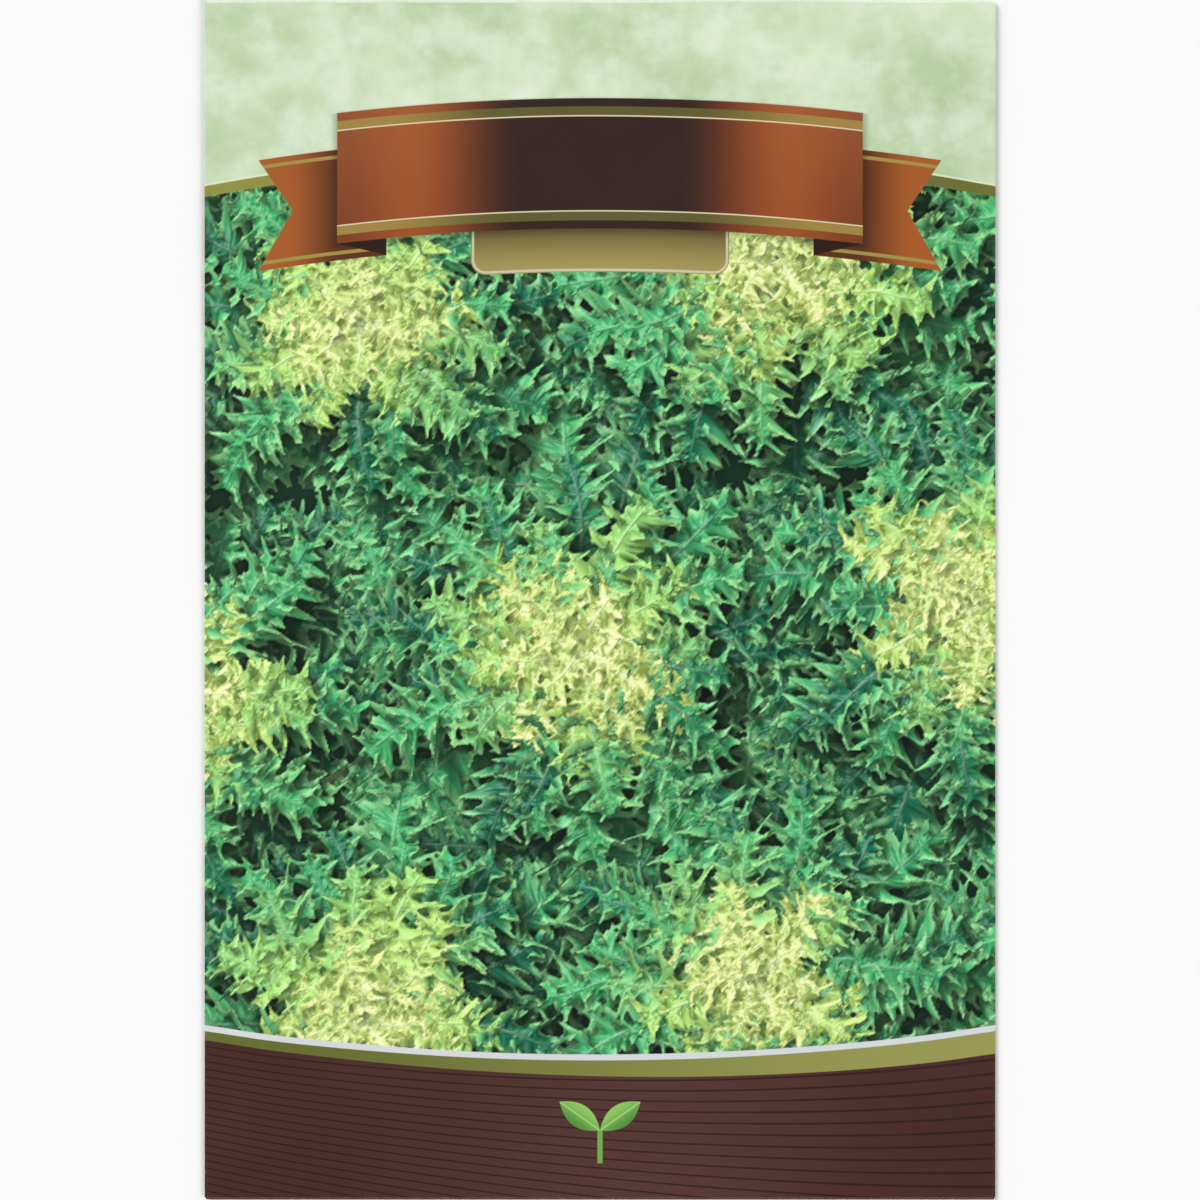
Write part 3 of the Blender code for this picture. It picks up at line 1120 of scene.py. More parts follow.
@dataclass(frozen=True)
class Banner:
    """A bare ribbon banner over the header's lower edge, with a small tab below it.

    All is in millimetres. Heights are counted from the header's curved lower edge, and the
    banner is alike on the left and the right, so across is counted away from the middle. The
    last four spans say how far off the middle a change starts, and how far short of the
    plate's end it is done.
    """

    half: float = 26.5  # Half the plate's length.
    deep: float = 6.6  # Half the plate's height.
    middle: float = -1.2  # Height of the plate's middle.
    tail_drop: float = 2.7  # How much lower the tails hang.
    tail_deep: float = 5.6  # Half the tails' height.
    tail_long: float = 8.0  # How far the tails reach past the plate.
    tail_trim: Line = Line(0.18, 0.75)  # The trim along a tail's upper and lower edges.
    tail_shade: Pair = (5.5, -0.5)  # How far past the plate a tail is fully lit, and fully shaded.
    notch_deep: float = 3.5  # Depth of the notch in a tail's end.
    notch_slope: float = 0.62  # How much further a tail reaches for each millimetre off its middle.
    tuck: float = 5.0  # How far a tail goes back behind the plate.
    tab_half: float = 13.0  # Half the tab's length.
    tab_low: float = -12.2  # Height of the tab's lower edge.
    tab_corner: float = 1.6  # Radius of the tab's corners.
    tab_rim: Line = Line(0.12, 0.22)  # The pale line round the tab.
    tab_shade: float = 0.6  # How far over the plate's lower edge the tab's shade would be full.
    shadow: float = 0.5  # Strength of the plate's shadow.
    shadow_reach: Triple = (0.9, 1.1, 0.2)  # How far it reaches past the ends, below and above.
    shadow_inset: float = 0.2  # How far inside the plate's edges it is full.
    trim: Line = Line(0.42, 1.25)  # The trim along the plate's upper and lower edges.
    trim_line: Line = Line(0.07, 1.78, 0.04)  # The fine line inside the trim.
    lit: float = 0.25  # Strength of the light on the plate's upper ends.
    lit_ends: Pair = (12.0, 4.0)  # Where that light comes up.
    rust_ends: Pair = (8.0, 6.0)  # Where umber turns to rust.
    dark_ends: Pair = (17.5, 0.0)  # Where the rust darkens.
    gold_ends: Pair = (10.0, 5.0)  # Where the trim turns to gold.

    def over(self, sheet: Print, v: Wire) -> None:
        """Lays the tab, the tails and the plate over the print, in that order.

        Args:
            sheet: The print.
            v: Height over the header's lower edge.
        """
        away, rise = abs(sheet.page.x), v - self.middle
        for lay in (self.lay_tab, self.lay_tails, self.lay_plate):
            lay(sheet, away, rise)

    def lay_tab(self, sheet: Print, away: Wire, v: Wire) -> None:
        """Lays a gold tab with a pale rim, dark where the plate shades it.

        Its edge is the distance to a smaller rectangle, less the radius of its corners.

        Args:
            sheet: The print.
            away: Distance from the packet's middle line.
            v: Height over the plate's middle.
        """
        low = self.tab_low - self.middle
        past_x = (away - (self.tab_half - self.tab_corner)).most(0.0)
        past_v = (abs(v - low / 2) - (-low / 2 - self.tab_corner)).most(0.0)
        edge = (past_x * past_x + past_v * past_v).root() - self.tab_corner
        shade = v.climb(low, self.tab_shade - self.deep)
        gold = sheet.graph.mix(shade, PrintInk.TAB_GOLD, PrintInk.TAB_SHADED)
        sheet.lay(edge.climb(SOFT, -SOFT), gold)
        sheet.lay(self.tab_rim.beside(edge), PrintInk.TAB_RIM)

    def lay_tails(self, sheet: Print, away: Wire, v: Wire) -> None:
        """Lays the notched tails, and the dark folds that join them to the plate.

        A tail ends where the distance away passes a line that climbs with the height off its
        middle. A fold is the part behind the plate above a slanting line.

        Args:
            sheet: The print.
            away: Distance from the packet's middle line.
            v: Height over the plate's middle.
        """
        mix, hidden = sheet.graph.mix, self.half - self.tuck
        off_middle = abs(v + self.tail_drop)
        end = off_middle * self.notch_slope + (self.half + self.tail_long - self.notch_deep)
        reach = (away - end).climb(SOFT, -SOFT)
        reach = reach * away.climb(hidden - SOFT, hidden + SOFT)
        shaded = away.climb(self.half + self.tail_shade[0], self.half + self.tail_shade[1])
        rust = mix(shaded, PrintInk.TAIL_RUST, PrintInk.TAIL_SHADED)
        rust = mix(self.tail_trim.beside(off_middle, self.tail_deep), rust, PrintInk.TAIL_TRIM)
        slant = (self.tail_drop + self.tail_deep - self.deep) / self.tuck
        over_fold = v + (self.tail_drop + self.tail_deep) - (away - hidden) * slant
        inside = away.climb(self.half + SOFT, self.half - SOFT)
        rust = mix(over_fold.climb(-SOFT, SOFT) * inside, rust, PrintInk.FOLD_DARK)
        sheet.lay(reach * off_middle.within(self.tail_deep), rust)

    def ends(self, away: Wire, span: Pair) -> Wire:
        """0 in the plate's middle and 1 at its ends, with a smooth climb over that span."""
        return away.climb(span[0], self.half - span[1])

    def lay_plate(self, sheet: Print, away: Wire, v: Wire) -> None:
        """Lays the long plate: rust at its ends, umber in its middle, with trims and a soft shadow.

        The shadow is the product of three climbs, at the ends, below and above.

        Args:
            sheet: The print.
            away: Distance from the packet's middle line.
            v: Height over the plate's middle.
        """
        mix, inset = sheet.graph.mix, self.shadow_inset
        past, below, above = self.shadow_reach
        shadow = away.climb(self.half + past, self.half - inset)
        shadow = shadow * v.climb(-self.deep - below, inset - self.deep)
        shadow = shadow * v.climb(self.deep + above, self.deep - inset)
        sheet.lay(shadow * self.shadow, PrintInk.SHADOW)
        end = mix(self.ends(away, self.dark_ends), PrintInk.RUST, PrintInk.RUST_SHADED)
        brown = mix(self.ends(away, self.rust_ends), PrintInk.UMBER, end)
        lit = v.climb(-self.deep, self.deep) * self.ends(away, self.lit_ends)
        brown = mix(lit * self.lit, brown, PrintInk.RUST_LIT)
        trim = mix(self.ends(away, self.gold_ends), PrintInk.TRIM_BROWN, PrintInk.TRIM_GOLD)
        brown = mix(self.trim.beside(abs(v), self.deep), brown, trim)
        brown = mix(self.trim_line.beside(abs(v), self.deep), brown, PrintInk.TRIM_LINE)
        sheet.lay(v.within(self.deep) * away.within(self.half), brown)


@dataclass(frozen=True)
class Seedling:
    """A small plain ornament: a stem with a pair of seed leaves, in millimetres."""

    foot: Pair = (0.0, -56.9)  # Where the stem stands.
    stem: float = 3.4  # Its height.
    stem_half: float = 0.26  # Half its width.
    leaf: float = 2.5  # Half a seed leaf's length.
    plump: float = 1.15  # Half its width.
    tilt: float = 0.62  # How steeply the leaves rise, in radians.
    rib_half: float = 0.05  # Half the width of a leaf's rib.
    soft: float = 0.04  # Half the width of the smooth step at a leaf's edge.

    def over(self, sheet: Print) -> None:
        """Lays the ornament over the print.

        A seed leaf is the part between two parabolas that meet at its foot and at its tip.

        Args:
            sheet: The print.
        """
        away, rise = abs(sheet.page.x - self.foot[0]), sheet.page.y - self.foot[1]
        stalk = away.within(self.stem_half) * rise.within(self.stem / 2, self.stem / 2)
        sheet.lay(stalk, PrintInk.STALK)
        cos, sin = math.cos(self.tilt), math.sin(self.tilt)
        out, up = away - self.leaf * cos, rise - (self.stem + self.leaf * sin)
        length, width = out * cos + up * sin, up * cos - out * sin
        share = length / self.leaf
        edge = (1.0 - share * share) * self.plump - abs(width)
        turned = width.climb(-self.plump, self.plump)
        green = sheet.graph.mix(turned, PrintInk.SEED_LEAF_DARK, PrintInk.SEED_LEAF_LIGHT)
        green = sheet.graph.mix(width.within(self.rib_half), green, PrintInk.SEED_LEAF_RIB)
        sheet.lay(edge.climb(-self.soft, self.soft), green)


@dataclass(frozen=True)
class CoatedPaper:
    """The coated face of the sheet under its print, a little worn along the creases."""

    half_width: float  # Half the packet's width, in millimetres.
    half_height: float  # Half the packet's height, in millimetres.
    worn_reach: float = 0.20  # How far the wear goes in from a crease, in millimetres.
    worn_full: float = 0.02  # How far in from a crease the wear is full.
    worn: float = 0.16  # Strength of the wear at the crease.
    worn_rough: float = 0.3  # What full wear adds to the roughness.
    scuffs: Mottle = Mottle(1.1, 6.0, 0.75, 0.52, 0.68)  # Where the wear comes through.
    dull: Mottle = Mottle(0.16, 4.0, 0.6)  # Where the coat is dull.
    roughness: Pair = (0.50, 0.60)  # Roughness of the coat, from its smoothest to its dullest places.
    gloss: float = 0.14  # Strength of the coat's reflections.
    grain: Mottle = Mottle(2.4, 4.0, 0.6)  # The coat's fine grain.
    skin: float = 0.006 * MM  # Height of that grain, in metres.

    def finish(self, sheet: Print) -> bpy.types.Material:
        """Ends a print in coated paper.

        Args:
            sheet: The print.

        Returns:
            The material.
        """
        graph, page = sheet.graph, sheet.page
        edge = (self.half_width - abs(page.x)).least(self.half_height - abs(page.y))
        worn = edge.climb(self.worn_reach, self.worn_full, 0.0, self.worn)
        worn = self.scuffs.on(graph, page) * worn
        rough = self.dull.on(graph, page, *self.roughness)
        return graph.surface({
            "Base Color": graph.mix(worn, sheet.color, PrintInk.WORN_PAPER),
            "Roughness": rough + worn * self.worn_rough,
            "Specular IOR Level": self.gloss,
            "Normal": graph.bump(self.grain.raw(graph, page), self.skin),
        })


@dataclass(frozen=True)
class FrontPrint:
    """The printed front of the sheet, in millimetres.

    Header, footer, banner and ornament are drawn by formulas on the paper's own X and Y. The
    picture between them is read from the attribute that the bed of leaves fills. A span says
    from which X to which X something changes.
    """

    paper: CoatedPaper  # The coated paper under the print.
    grain: Mottle = Mottle(5.0, 2.0, 0.7)  # Speckle of the printed picture.
    grain_share: float = 0.10  # Strength of that speckle.
    header_edge: float = 45.2  # Y of the header's lower edge at the middle of the packet.
    header_bow: float = 3.4  # How much lower that edge lies at the sides.
    cloud: Mottle = Mottle(0.075, 4.0, 0.55, 0.34, 0.66)  # The header's broad clouds.
    wisp: Mottle = Mottle(0.20, 5.0, 0.6, 0.38, 0.72)  # The pale wisps over them.
    wisp_share: float = 0.55  # Strength of the wisps.
    olive: Line = Line(0.55, 0.50)  # The olive trim under the header.
    olive_span: Pair = (-40.0, 30.0)  # Where it darkens.
    pale_line: Line = Line(0.09, -0.15)  # The pale line along the header's edge.
    footer_edge: float = -46.4  # Y of the footer's upper edge at the middle.
    footer_bow: float = 2.8  # How much higher that edge lies at the sides.
    tone: Mottle = Mottle(0.03, 2.0, 0.5)  # The footer's darker and lighter browns.
    lit: Triple = (5.0, -40.0, 40.0)  # X of the footer's brightest place, and of its two darkest.
    lit_share: float = 0.5  # Strength of that light.
    line_pitch: float = 1.2  # From one fine line of the footer to the next.
    line_half: float = 0.10  # Half the width of a fine line.
    line_share: float = 0.8  # Strength of the fine lines.
    fan: Pair = (1.7, 0.7)  # How crowded the lines are at the two ends of their span.
    fan_span: Pair = (-75.0, 75.0)  # That span.
    band: Pair = (0.45, 1.15)  # Half the olive band's height at the two ends of its span.
    band_span: Pair = (-45.0, 45.0)  # That span.
    band_lit: Pair = (-35.0, 40.0)  # Where the band turns lighter.
    footer_rim: Line = Line(0.30, -0.30)  # The pale line along the footer's edge.

    def header(self, sheet: Print, v: Wire) -> None:
        """Lays the pale mottled header and its olive trim over the picture.

        Args:
            sheet: The print.
            v: Height over the header's lower edge.
        """
        mix, x = sheet.graph.mix, sheet.page.x
        ground = mix(sheet.mottled(self.cloud), PrintInk.HEADER_GREEN, PrintInk.HEADER_PALE)
        ground = mix(sheet.mottled(self.wisp) * self.wisp_share, ground, PrintInk.HEADER_WISP)
        sheet.lay(v.climb(-SOFT, SOFT), ground)
        olive = mix(x.climb(*self.olive_span), PrintInk.OLIVE_LIGHT, PrintInk.OLIVE_DARK)
        sheet.lay(self.olive.beside(v), olive)
        sheet.lay(self.pale_line.beside(v), PrintInk.HEADER_LINE)

    def footer(self, sheet: Print, v: Wire) -> None:
        """Lays the brown footer, its fine lines, its olive band and its pale edge.

        The lines are a back and forth fold of the height, which is stretched more on the left,
        so that they fan out.

        Args:
            sheet: The print.
            v: Height over the footer's upper edge.
        """
        mix, x = sheet.graph.mix, sheet.page.x
        bright, left, right = self.lit
        lit = x.climb(left, bright) * x.climb(right, bright)
        brown = mix(sheet.mottled(self.tone), PrintInk.FOOTER_DARK, PrintInk.FOOTER_BROWN)
        brown = mix(lit * self.lit_share, brown, PrintInk.FOOTER_LIT)
        line = (v * x.climb(*self.fan_span, *self.fan)).sawn(self.line_pitch / 2)
        brown = mix(line.within(self.line_half) * self.line_share, brown, PrintInk.FOOTER_LINE)
        sheet.lay(v.climb(SOFT, -SOFT), brown)
        half_band = x.climb(*self.band_span, *self.band)
        off_band = abs(v + half_band) - half_band
        band = mix(x.climb(*self.band_lit), PrintInk.BAND_DARK, PrintInk.BAND_LIGHT)
        sheet.lay(off_band.climb(SOFT, -SOFT), band)
        sheet.lay(self.footer_rim.beside(v), PrintInk.BAND_EDGE)

    def material(self) -> bpy.types.Material:
        """Builds the front's print: the picture, then header, footer, ornament and banner.

        The header's and the footer's edges bow by the square of the share across.

        Returns:
            The material.
        """
        graph = Graph.of_material("printed_front")
        picture = graph.wire("ShaderNodeAttribute", "Color", {}, attribute_name="Picture")
        page = graph.page()
        sheet = Print(graph, page, picture)
        sheet.lay(self.grain.raw(graph, page) * self.grain_share, PrintInk.PICTURE_GRAIN)
        share = page.x / self.paper.half_width
        bow = share * share
        head = page.y + bow * self.header_bow - self.header_edge
        foot = page.y - bow * self.footer_bow - self.footer_edge
        self.header(sheet, head)
        self.footer(sheet, foot)
        Seedling().over(sheet)
        Banner().over(sheet, head)
        return self.paper.finish(sheet)


@dataclass(frozen=True)
class BackPrint:
    """The printed back of the sheet, in millimetres: pale green, with a bare ruled table."""

    paper: CoatedPaper  # The coated paper under the print.
    cloud: Mottle = Mottle(0.08, 4.0, 0.55, 0.34, 0.66)  # The ground's broad clouds.
    table: Pair = (31.0, 26.0)  # Half the table's width and half its height.
    table_share: float = 0.45  # How much the table is paled.
    row: float = 6.5  # Height of the table's rows.
    line_half: float = 0.10  # Half the width of the table's lines.
    band: float = 9.0  # Height of the brown band at the foot.
    soft: float = 0.1  # The length over which the band comes up.

    def material(self) -> bpy.types.Material:
        """Builds the back's print: the mottled ground, the table and the band.

        Returns:
            The material.
        """
        graph = Graph.of_material("printed_back")
        page = graph.page()
        cloud = self.cloud.on(graph, page)
        sheet = Print(graph, page, graph.mix(cloud, PrintInk.BACK_GREEN, PrintInk.BACK_PALE))
        inside = page.x.within(self.table[0]) * page.y.within(self.table[1])
        ruled = (page.y + self.table[1]).sawn(self.row / 2).within(self.line_half)
        sheet.lay(inside * self.table_share, PrintInk.TABLE_PALE)
        sheet.lay(inside * ruled, PrintInk.TABLE_LINE)
        edge = self.band - self.paper.half_height
        sheet.lay(page.y.climb(edge, edge - self.soft), PrintInk.BACK_BROWN)
        return self.paper.finish(sheet)


@dataclass(frozen=True)
class BarePaper:
    """The uncoated inside of the sheet: off-white, with faint fibres."""

    light: Triple = (0.84, 0.82, 0.76)  # Its color.
    dark: Triple = (0.74, 0.71, 0.63)  # Its color in the fibres.
    fibre: Mottle = Mottle(1.6, 6.0, 0.7)  # The fibres.
    dark_span: Pair = (0.45, 0.72)  # Where their noise turns the paper dark.
    roughness: Pair = (0.80, 0.92)  # Roughness of the paper, between the fibres and on them.
    height: float = 0.01 * MM  # Height of the fibres, in metres.

    def material(self) -> bpy.types.Material:
        """Builds the bare paper.

        Returns:
            The material.
        """
        graph = Graph.of_material("bare_paper")
        fibre = self.fibre.raw(graph, graph.page())
        return graph.surface({
            "Base Color": graph.mix(fibre.climb(*self.dark_span), self.light, self.dark),
            "Roughness": fibre.climb(self.fibre.low, self.fibre.high, *self.roughness),
            "Normal": graph.bump(fibre, self.height),
        })


@dataclass(frozen=True)
class DriedGlue:
    """Thin dried paper glue: clear, slightly yellow, with small bubbles."""

    color: Triple = (0.80, 0.74, 0.52)  # Its color.
    bubble_color: Triple = (0.93, 0.91, 0.80)  # Its color in the bubbles.
    bubbles: float = 2.2  # Bubbles in a millimetre.
    bubble_rim: Pair = (0.10, 0.22)  # Where a bubble starts to fade, and is gone, as a share.
    roughness: Pair = (0.30, 0.55)  # Roughness of the glue, and of its bubbles.
    height: float = 0.02 * MM  # Height of the bubbles, in metres.

    def material(self) -> bpy.types.Material:
        """Builds the dried glue.

        Returns:
            The material.
        """
        graph = Graph.of_material("dried_glue_film")
        inputs = {"Vector": graph.page().flat, "Scale": self.bubbles}
        away = graph.wire("ShaderNodeTexVoronoi", "Distance", inputs)
        bubble = away.climb(*self.bubble_rim, 1.0, 0.0)
        return graph.surface({
            "Base Color": graph.mix(bubble, self.color, self.bubble_color),
            "Roughness": bubble.climb(0.0, 1.0, *self.roughness),
            "Normal": graph.bump(bubble, self.height),
        })


@dataclass(frozen=True)
class SeedCoat:
    """The dry coat of the seeds: pale brown, ribbed along each seed, darker in places."""

    light: Triple = (0.46, 0.34, 0.20)  # The color of the ribs.
    dark: Triple = (0.20, 0.13, 0.07)  # The color between them.
    ribs: Mottle = Mottle(4.5, 5.0, 0.65)  # The fine ribs.
    patches: Mottle = Mottle(0.7, 2.0, 0.5)  # The broad darker and lighter patches.
    span: Pair = (0.8, 1.2)  # Where the two noises together turn the dark color light.
    roughness: Pair = (0.70, 0.88)  # Roughness between the ribs and on them.
    height: float = 0.05 * MM  # Height of the ribs, in metres.

    def material(self) -> bpy.types.Material:
        """Builds the seed coat.

        Returns:
            The material.
        """
        graph = Graph.of_material("dry_seed_coat")
        page = graph.page()
        ribs = self.ribs.raw(graph, page)
        share = (ribs + self.patches.raw(graph, page)).climb(*self.span)
        return graph.surface({
            "Base Color": graph.mix(share, self.dark, self.light),
            "Roughness": ribs.climb(self.ribs.low, self.ribs.high, *self.roughness),
            "Normal": graph.bump(ribs, self.height),
        })


@dataclass(frozen=True)
class StudioFloor:
    """The plain pale floor."""

    color: Triple = (0.93, 0.93, 0.925)  # Its color.

    def material(self) -> bpy.types.Material:
        """Builds the floor's matte finish."""
        graph = Graph.of_material("studio_floor")
        return graph.surface({"Base Color": (*self.color, 1.0), "Roughness": 0.9})


def placed(name: str, data: bpy.types.ID) -> bpy.types.Object:
    """Puts an object into the scene.

    Args:
        name: Its name.
        data: Its mesh, lamp or camera.

    Returns:
        The object.
    """
    thing = bpy.data.objects.new(name, data)
    bpy.context.scene.collection.objects.link(thing)
    return thing


def grid_normals(grid: Floats) -> Floats:
    """Unit normals of a grid of points: the cross product of its differences along X and Y."""
    normal = np.cross(np.gradient(grid, axis=1), np.gradient(grid, axis=0))
    return normal / np.linalg.norm(normal, axis=-1, keepdims=True)


@dataclass
class Slab:
    """A sheet with thickness: a fine outer face, a coarser inner face, and the cut edges."""

    name: str  # The piece's name.
    outer: Floats  # Points of the outer face, by row and column.
    inner: Floats  # Points of the inner face, on the same grid.
    kept_rows: Numbers  # Rows that the inner face keeps, with the first and the last.
    kept_columns: Numbers  # Columns that the inner face keeps, with the first and the last.
    sharp: float = 50.0  # The angle past which an edge is shaded sharp, in degrees.

    @classmethod
    def plain(cls, name: str, outer: Floats, inner: Floats) -> "Slab":
        """A sheet whose inner face is as fine as its outer one."""
        return cls(name, outer, inner, np.arange(len(outer)), np.arange(outer.shape[1]))

    def faces(self) -> tuple[Numbers, list[Numbers]]:
        """The corners of the faces.

        The outer face keeps every point, and the inner face the kept ones. A cut edge has one
        face for each step of the inner face, with every outer point that lies along that step.

        Returns:
            The printed quads, and the bare faces in blocks that have as many corners.
        """
        rows, columns = self.outer.shape[:2]
        fine = np.arange(rows * columns).reshape(rows, columns)
        coarse = np.arange(len(self.kept_rows) * len(self.kept_columns)) + fine.size
        coarse = coarse.reshape(len(self.kept_rows), -1)
        over = np.stack([fine[:-1, :-1], fine[:-1, 1:], fine[1:, 1:], fine[1:, :-1]], -1)
        under = np.stack([coarse[:-1, :-1], coarse[1:, :-1], coarse[1:, 1:], coarse[:-1, 1:]], -1)
        edges = (
            (fine[0, ::-1], coarse[0, ::-1], columns - 1 - self.kept_columns[::-1]),
            (fine[:, 0], coarse[:, 0], self.kept_rows),
            (fine[-1, :], coarse[-1, :], self.kept_columns),
            (fine[::-1, -1], coarse[::-1, -1], rows - 1 - self.kept_rows[::-1]),
        )
        walls = [
            np.append(long[start : end + 1], short[[number + 1, number]])[None]
            for long, short, stops in edges
            for number, (start, end) in enumerate(zip(stops[:-1], stops[1:]))
        ]
        return over.reshape(-1, 4), [under.reshape(-1, 4), *walls]

    def mesh(self) -> bpy.types.Mesh:
        """Makes the mesh, with its printed and bare faces in their slots.

        Returns:
            The mesh, closed all round.
        """
        inner = self.inner[np.ix_(self.kept_rows, self.kept_columns)]
        points = np.concatenate([self.outer.reshape(-1, 3), inner.reshape(-1, 3)])
        printed, bare = self.faces()
        blocks = [printed, *bare]
        lengths = np.concatenate([np.full(len(block), block.shape[1]) for block in blocks])
        corners = np.concatenate([block.ravel() for block in blocks])
        starts = np.cumsum(lengths) - lengths
        slots = np.where(np.arange(len(lengths)) < len(printed), PaperFace.PRINTED, PaperFace.BARE)

        mesh = bpy.data.meshes.new(self.name)
        mesh.vertices.add(len(points))
        mesh.vertices.foreach_set("co", points.astype(np.float32).ravel())
        mesh.loops.add(len(corners))
        mesh.loops.foreach_set("vertex_index", corners.astype(np.int32))
        mesh.polygons.add(len(lengths))
        mesh.polygons.foreach_set("loop_start", starts.astype(np.int32))
        mesh.polygons.foreach_set("material_index", slots.astype(np.int32))
        mesh.update(calc_edges=True)
        mesh.validate()
        mesh.shade_smooth()
        mesh.set_sharp_from_angle(angle=math.radians(self.sharp))
        return mesh

    def build(self, colors: Floats | None = None) -> bpy.types.Object:
        """Makes the piece.

        Args:
            colors: Linear colors of the outer face's points, or none where no picture shows.

        Returns:
            The object, linked to the scene.
        """
        mesh = self.mesh()
        picture = mesh.color_attributes.new("Picture", "FLOAT_COLOR", "POINT")
        values = np.empty((len(mesh.vertices), 4), np.float32)
        values[:] = (*LeafInk.DEEP.value, 1.0)
        if colors is not None:
            values[: self.outer.size // 3, :3] = colors.reshape(-1, 3)
        picture.data.foreach_set("color", values.ravel())
        return placed(self.name, mesh)


@dataclass
class Envelope:
    """The folded sheet, in pieces that meet edge to edge."""

    stack: PaperStack  # The heights of its layers.
    columns: int = 552  # Steps across the front panel.
    picture_rows: int = 640  # Steps up the picture.
    picture_low: float = -46.8 * MM  # Y of the picture's first row.
    picture_high: float = 45.6 * MM  # Y of its last row.
    plain_step: float = 0.7 * MM  # Step up the header and the footer.
    strips: int = 4  # Pieces that the picture is cut into.
    fold_steps: int = 7  # Steps round a crease.
    thinning: int = 8  # Steps of the outer face in one step of the inner.
    flap_stops: tuple[float, ...] = (0.02, 0.05, 0.5, 1.0)  # Columns of a side flap, as shares of it.
    bleed: int = 3  # Last columns of a side flap that carry no picture.
    unprinted: Triple = (0.70, 0.80, 0.61)  # Their color.
    back_short: float = 5.0 * MM  # How far the back panel ends before the top crease.
    back_taper: float = 0.8 * MM  # How far each side of the back panel has drawn in at its free edge.
    flap_taper: float = 4.0 * MM  # The same for the top flap.
    inset: float = 0.25 * MM  # How much narrower than the front a folded panel is, on each side.
    panel_rows: int = 59  # Rows of a folded panel, past its crease.

    def columns_across(self) -> tuple[Floats, Floats, Floats]:
        """The columns of the front and of the folded sides.

        Returns:
            outward: Distance past the crease line, signed like X.
            x: Where the height of the front or the flap is read.
            turned: Share of the half turn that the paper has made round the crease.
        """
        stack = self.stack
        front = np.linspace(-stack.crease_x, stack.crease_x, self.columns + 1)
        turned = np.linspace(0, 1, self.fold_steps + 1)[1:]
        flap = stack.crease_x - stack.side_flap * np.array(self.flap_stops)
        right_x = np.concatenate([np.full(len(turned), stack.crease_x), flap])
        right_turn = np.concatenate([turned, np.ones(len(flap))])
        x = np.concatenate([-right_x[::-1], front, right_x])
        turn = np.concatenate([right_turn[::-1], np.zeros(len(front)), right_turn])
        outward = np.sign(x) * stack.side_radius * np.sin(math.pi * turn)
        return outward, x, turn

    def wrapped(self, y: Floats) -> Floats:
        """Middle of the sheet from one side flap over the front to the other.

        In a crease the height falls by the radius times one minus the cosine of the turn.

        Args:
            y: Places of the rows.

        Returns:
            Points by row and column.
        """
        stack = self.stack
        outward, x, turn = self.columns_across()
        grid_x, grid_y = np.meshgrid(x, y)
        front = stack.front(grid_x, grid_y)
        folded = front - stack.side_radius * (1 - np.cos(math.pi * turn))[None, :]
        on_flap = (np.abs(x) < stack.crease_x) & (turn > 0)
        height = np.where(on_flap[None, :], stack.side(grid_x, grid_y), folded)
        return np.stack([grid_x + outward[None, :], grid_y, height], -1)

    def kept(self, count: int, fine_from: int = 0, fine_to: int | None = None) -> Numbers:
        """The rows or columns that an inner face keeps.

        Args:
            count: How many the outer face has.
            fine_from: Where the thinned stretch starts. All before it are kept.
            fine_to: Where it ends. All after it are kept.

        Returns:
            Their numbers, in order.
        """
        fine_to = count - 1 if fine_to is None else fine_to
        thinned = np.arange(fine_from, fine_to, self.thinning)
        return np.concatenate([np.arange(fine_from), thinned, np.arange(fine_to, count)])

    def front_pieces(self, bed: LeafyBed) -> list[bpy.types.Object]:
        """Builds the front with its side flaps.

        Args:
            bed: The picture, on the same columns and rows.

        Returns:
            The footer, the strips of the picture, and the header.
        """
        stack = self.stack
        low_rows = round((self.picture_low - stack.bottom_y) / self.plain_step)
        high_rows = round((stack.top_y - self.picture_high) / self.plain_step)
        y = np.concatenate([
            np.linspace(stack.bottom_y, self.picture_low, low_rows + 1)[:-1],
            np.linspace(self.picture_low, self.picture_high, self.picture_rows + 1),
            np.linspace(self.picture_high, stack.top_y, high_rows + 1)[1:],
        ])
        middle = self.wrapped(y)
        offset = grid_normals(middle) * stack.paper / 2
        side = (middle.shape[1] - self.columns - 1) // 2
        picture = np.pad(bed.colors(), ((0, 0), (side, side), (0, 0)), mode="edge")
        picture[:, : self.bleed] = picture[:, -self.bleed :] = self.unprinted

        strips = [f"picture_panel_{number + 1}" for number in range(self.strips)]
        tall = self.picture_rows // self.strips
        cuts = [0, *(low_rows + tall * np.arange(self.strips + 1)), len(y) - 1]
        kept_columns = self.kept(middle.shape[1], side, side + self.columns)
        pieces = []
        for name, start, end in zip(["footer_panel", *strips, "header_panel"], cuts[:-1], cuts[1:]):
            rows = slice(start, end + 1)
            outer, inner = (middle + offset)[rows], (middle - offset)[rows]
            slab = Slab(name, outer, inner, self.kept(end - start + 1), kept_columns)
            inked = picture[start - low_rows : end - low_rows + 1] if name in strips else None
            pieces.append(slab.build(inked))
        return pieces

